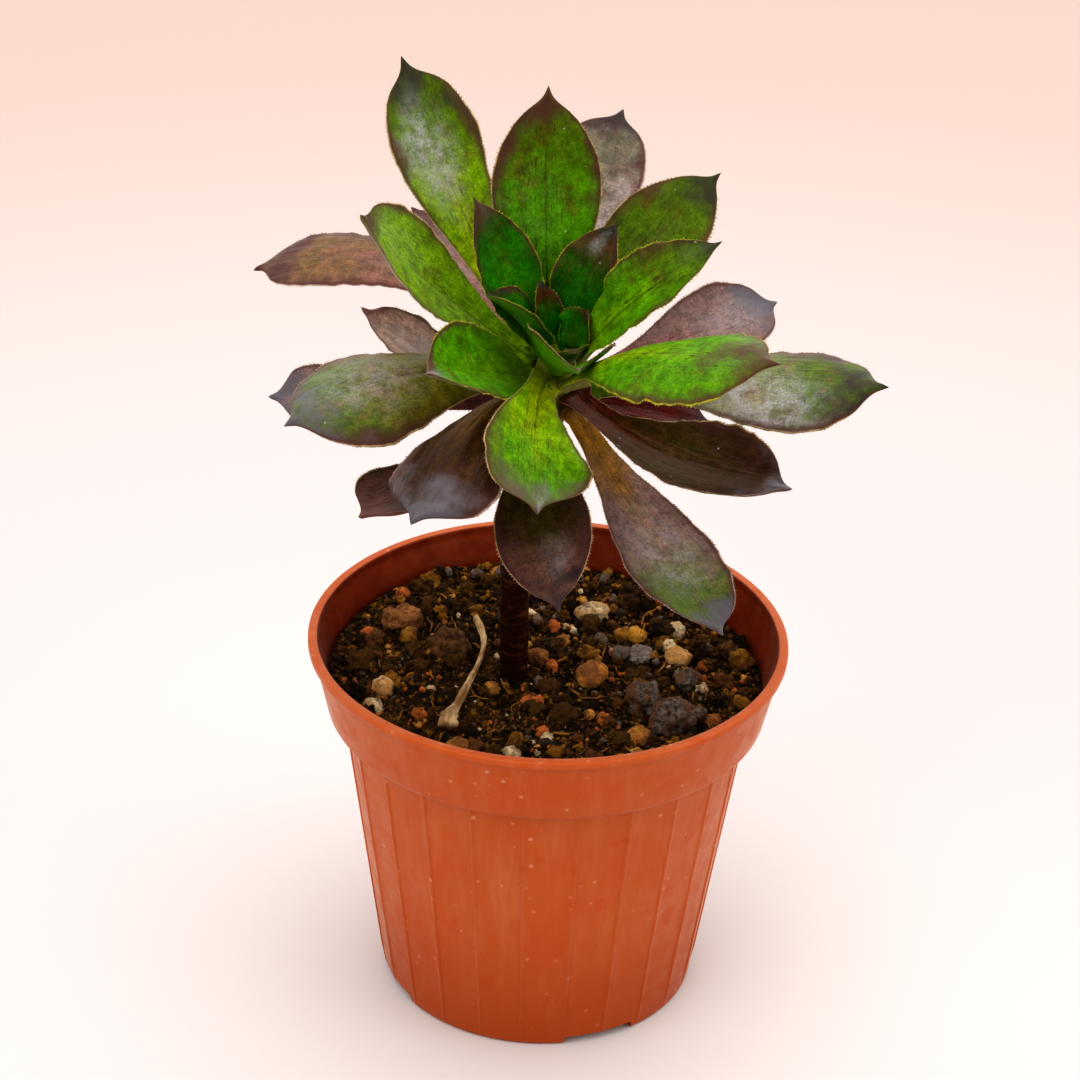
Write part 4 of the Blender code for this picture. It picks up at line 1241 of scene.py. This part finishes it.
def leaf_finish(name, look, seed):
    """Satin leaf flesh, coloured from base to tip, with brown edges, a bloom with painted sheen, and a horny
    rim.
    """
    finish = Finish(name, 0.42, 0.28)
    green = look.middle in GREENS
    across, along = finish.mark("across"), finish.mark("along")
    from_middle = finish.maths("ABSOLUTE", across)
    from_rib = finish.maths("ABSOLUTE", finish.mark("across_m"))
    own = finish.step("ShaderNodeVectorMath", {0: finish.place(), 1: (seed * 0.13, seed * 0.07, 0)})
    cloud = finish.grain(0.0075, own, detail=4, roughness=0.6)
    drift = finish.maths("ADD", along, finish.between(cloud, 0.25, 0.75, -0.10, 0.10))
    lengthwise = finish.step(
        "ShaderNodeCombineXYZ",
        {"X": finish.mark("across_m"), "Y": finish.times(finish.mark("along_m"), 0.14), "Z": seed * 0.1},
    )

    # The flesh from its base to its upper part, with lengthwise bands and a paler midrib.
    colour = finish.mix(finish.between(drift, 0.10, 0.45), look.base, look.middle)
    colour = finish.mix(finish.between(drift, 0.50, 0.80), colour, look.upper)
    bands = finish.patches(0.0014, 0.35, 0.70, 0, 0.28, vector=lengthwise, detail=3)
    colour = finish.mix(finish.times(bands, finish.between(along, 0.2, 0.8, 1, 0.3)), colour, look.base)
    glow = finish.between(from_rib, 0.0003, 0.0034, 0.55, 0)
    colour = finish.mix(finish.times(glow, finish.between(along, 0.3, 0.8, 1, 0)), colour, look.base)

    # The flush of the sun, uneven shade, pores, and dark flecks along the veins and the midrib.
    tint = RUSSET if green else PLUM if look.middle in (UMBER, MUD) else CRIMSON
    flush = finish.patches(0.0052, 0.50, 0.66, 0, 0.55 * look.browned, vector=own, detail=6, roughness=0.7)
    colour = finish.mix(finish.times(flush, finish.between(along, 0.25, 0.60, 0.1, 1)), colour, tint)
    mottle = finish.patches(0.0022, 0.30, 0.72, vector=own, detail=6, roughness=0.7)
    colour = finish.mix(1.0, colour, finish.mix(mottle, *MOTTLED), "MULTIPLY")
    pores = finish.patches(0.0004, 0.32, 0.68, vector=own, detail=2)
    colour = finish.mix(1.0, colour, finish.mix(pores, *PORED), "MULTIPLY")
    fleck = finish.patches(0.00042, 0.56, 0.66, 0, look.flecked, vector=lengthwise, detail=3, roughness=0.6)
    fleck = finish.times(fleck, finish.between(from_middle, 0.10, 0.85, 0.75, 0.15))
    colour = finish.mix(fleck, colour, UMBER)
    rib_line = finish.between(from_rib, 0.00008, 0.00030, 0.55 * look.flecked, 0)
    colour = finish.mix(finish.times(rib_line, finish.between(along, 0.2, 0.9, 1, 0.3)), colour, UMBER)

    # The brown edges and the tip.
    edge = finish.maths("ADD", from_middle, finish.between(cloud, 0.3, 0.7, -0.16, 0.16))
    brown = finish.between(edge, 0.62, 1.0, 0, look.browned)
    colour = finish.mix(finish.times(brown, finish.between(along, 0.3, 0.8)), colour, PLUM)
    colour = finish.mix(finish.between(drift, 0.77, 0.98), colour, look.tip)

    # The waxy bloom with a painted sheen, bluer towards the tip as a painted reflection of the sky: one soft
    # patch, broken up and finely frosted.
    aside = finish.times(finish.maths("SUBTRACT", across, look.aside), 0.30)
    ahead = finish.maths("SUBTRACT", along, look.ahead)
    away = finish.maths("ADD", finish.times(aside, aside), finish.times(ahead, ahead))
    patch = finish.between(finish.maths("SQRT", away), 0.1 * look.spread, look.spread, look.bloomed, 0)
    wax = finish.patches(0.0032, 0.36, 0.62, 0.25, 1.0, vector=own, detail=5, roughness=0.65)
    frost = finish.patches(0.00035, 0.35, 0.65, 0.55, 1.0, vector=own, detail=2)
    bloom_and_sheen_mask = finish.times(finish.times(patch, wax), frost)
    # Painted sheen: the bloom's pale colour, bluer towards the tip, is mixed into the flesh.
    colour = finish.mix(bloom_and_sheen_mask, colour, finish.mix(finish.between(along, 0.6, 0.95), BLOOM_AND_SHEEN, SKY_SHEEN_AND_BLOOM))

    # The underside, specks of dust, a dark line inside the rim, and the worn horny rim itself.
    under = UNDERSIDES.get(look.base, SAGE)
    colour = finish.mix(finish.between(finish.mark("side"), -0.2, 0.2, 0.6, 0), colour, under)
    colour = finish.mix(finish.between(finish.cells(0.0045, own), 0.035, 0.055, 0.55, 0), colour, BLOOM_AND_SHEEN)
    dark_rim = finish.between(from_middle, 0.86, 0.95, 0, 0.7)
    colour = finish.mix(finish.times(dark_rim, finish.between(along, 0.2, 0.6)), colour, PLUM)
    worn = finish.patches(0.0016, 0.35, 0.60, 0.35, 0.90, vector=own, detail=2)
    rim = finish.times(finish.between(from_middle, 0.965, 0.985), worn)
    colour = finish.mix(finish.times(rim, finish.between(along, 0.86, 0.96, 1, 0.15)), colour, look.rim)
    finish.set("Base Color", colour)

    slick = 0.34 if green else 0.28
    finish.set("Roughness", finish.between(finish.maths("ADD", bloom_and_sheen_mask, mottle), 0.2, 1.4, slick, slick + 0.24))
    veins = finish.relief(finish.grain(0.0011, lengthwise, detail=2), 0.00022)
    finish.set("Normal", finish.relief(finish.grain(0.00045, own, detail=3), 0.00005, veins))
    gloss = RED_GLOSS if look.base == RED else DARK_GLOSS
    finish.set("Specular Tint", GREEN_GLOSS if green else gloss)
    finish.translucent(0.12, (0.5, 1.0, 0.2), 0.0008)
    return finish


for seed, (node, look) in enumerate(LEAF_LOOKS.items(), 1):
    skin = leaf_mesh(f"{node}_flesh", node, seed, look.wavy)
    add_piece(f"{node}_flesh", skin, leaf_finish(f"{node}_skin", look, seed), [node])

# ---- Bud ----
# The growing point: the next five leaves, soft and deep green, still folded round each other into a
# small point. They grow from the top of the crown, inside the smallest open leaves.

BUD_LEAVES = 5
BUD_ROWS = 14
BUD_COLUMNS = 9
BUD_TURN = 2.4
BUD_SKIN = 0.00022
BUD_LEAN = -0.0006


def bud_mesh():
    """Five cupped scales, each wrapped a little way round the middle and opening at its tip."""
    low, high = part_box("bud")
    middle = (low + high) / 2
    height, girth = high.z - low.z, min(high.x - low.x, high.y - low.y) / 2
    rows, columns = BUD_ROWS, BUD_COLUMNS
    inside = rows * columns
    points, faces = [], []
    for scale in range(BUD_LEAVES):
        reach = 1 - 0.07 * scale
        start = len(points)
        for inner in (0, 1):
            for row in range(rows):
                share = row / (rows - 1)
                wrap = 1.15 * math.sin(math.pi * (0.12 + 0.86 * share)) ** 0.8
                belly = 0.42 + 0.50 * math.sin(math.pi * share * 0.8)
                radius = girth * belly * (0.72 + 0.07 * scale) - BUD_SKIN * inner
                y = middle.y + BUD_LEAN * share
                for column in range(columns):
                    side = (column / (columns - 1) - 0.5) * 2
                    angle = scale * BUD_TURN + side * wrap
                    up = low.z + height * share * reach * (1 - 0.10 * side * side)
                    points.append((middle.x + radius * math.cos(angle), y + radius * math.sin(angle), up))
        for row in range(rows - 1):
            for column in range(columns - 1):
                corner = start + row * columns + column
                quad = (corner, corner + 1, corner + columns + 1, corner + columns)
                faces.append(quad)
                faces.append(tuple(reversed([place + inside for place in quad])))
        rim = list(range(columns)) + [row * columns + columns - 1 for row in range(1, rows)]
        rim += [(rows - 1) * columns + column for column in reversed(range(columns - 1))]
        rim += [row * columns for row in reversed(range(1, rows - 1))]
        for here, there in zip(rim, rim[1:] + rim[:1]):
            faces.append((start + there, start + here, start + here + inside, start + there + inside))
    return mesh_of("bud_scales", points, faces)


bud_skin = Finish("bud_skin", 0.40, 0.30)
bud_skin.set("Base Color", bud_skin.mix(bud_skin.patches(0.0012, 0.4, 0.6), DEEP, GRASS))
bud_skin.set("Normal", bud_skin.relief(bud_skin.grain(0.0004), 0.00004))
add_piece("bud_scales", bud_mesh(), bud_skin, ["bud"])

# ---- Floor and lamps ----
# A sheet of white card, painted light close round the pot against its shadow, fading to warm peach away.
# One large soft lamp hangs over it, with a fill lamp in front, another at the side, and white walls all
# round.

LIT_CARD_NEAR_POT = (0.600, 0.575, 0.575)
CARD = (0.520, 0.500, 0.503)
PEACH = (0.512, 0.418, 0.382)
CARD_RADIUS = 3.0
ROOM_WHITE = (1.0, 0.95, 0.92, 1)
ROOM_STRENGTH = 0.93
LAMP_AIM = Vector((0, 0, 0.1))

bm = bmesh.new()
bmesh.ops.create_circle(bm, cap_ends=True, segments=96, radius=CARD_RADIUS)
card = closed(bm, "card")
card_finish = Finish("white_card", 0.85, 0.10)
flat_place = card_finish.stretched(card_finish.place(), (1, 1, 0))
distance = card_finish.step("ShaderNodeVectorMath", {0: flat_place}, "Value", operation="LENGTH")
# Painted light: the card is lighter close round the pot, against the pot's shadow.
card_with_painted_light = card_finish.mix(card_finish.between(distance, 0.04, 0.20), LIT_CARD_NEAR_POT, CARD)
card_finish.set("Base Color", card_finish.mix(card_finish.between(distance, 0.18, 0.52), card_with_painted_light, PEACH))
card.materials.append(card_finish.material)
floor = placed("card", card)


def add_lamp(name, place, size, power, colour):
    lamp = placed(name, bpy.data.lights.new(name, "AREA"))
    lamp.data.shape = "DISK"
    lamp.data.size = size
    lamp.data.energy = power
    lamp.data.color = colour
    lamp.location = place
    lamp.rotation_mode = "QUATERNION"
    lamp.rotation_quaternion = (LAMP_AIM - Vector(place)).to_track_quat("-Z", "Y")


add_lamp("soft_box", (0.12, 0.22, 1.2), 1.5, 6.4, (1.0, 0.985, 0.96))
add_lamp("front_fill", (-0.7, -0.8, 0.9), 1.2, 4.4, (1.0, 0.97, 0.95))
add_lamp("side_fill", (1.0, -0.4, 0.5), 0.8, 2.0, (1.0, 0.96, 0.93))

room = bpy.data.worlds.new("white_walls")
room.use_nodes = True
room.node_tree.nodes["Background"].inputs["Color"].default_value = ROOM_WHITE
room.node_tree.nodes["Background"].inputs["Strength"].default_value = ROOM_STRENGTH
bpy.context.scene.world = room

bpy.context.view_layer.update()
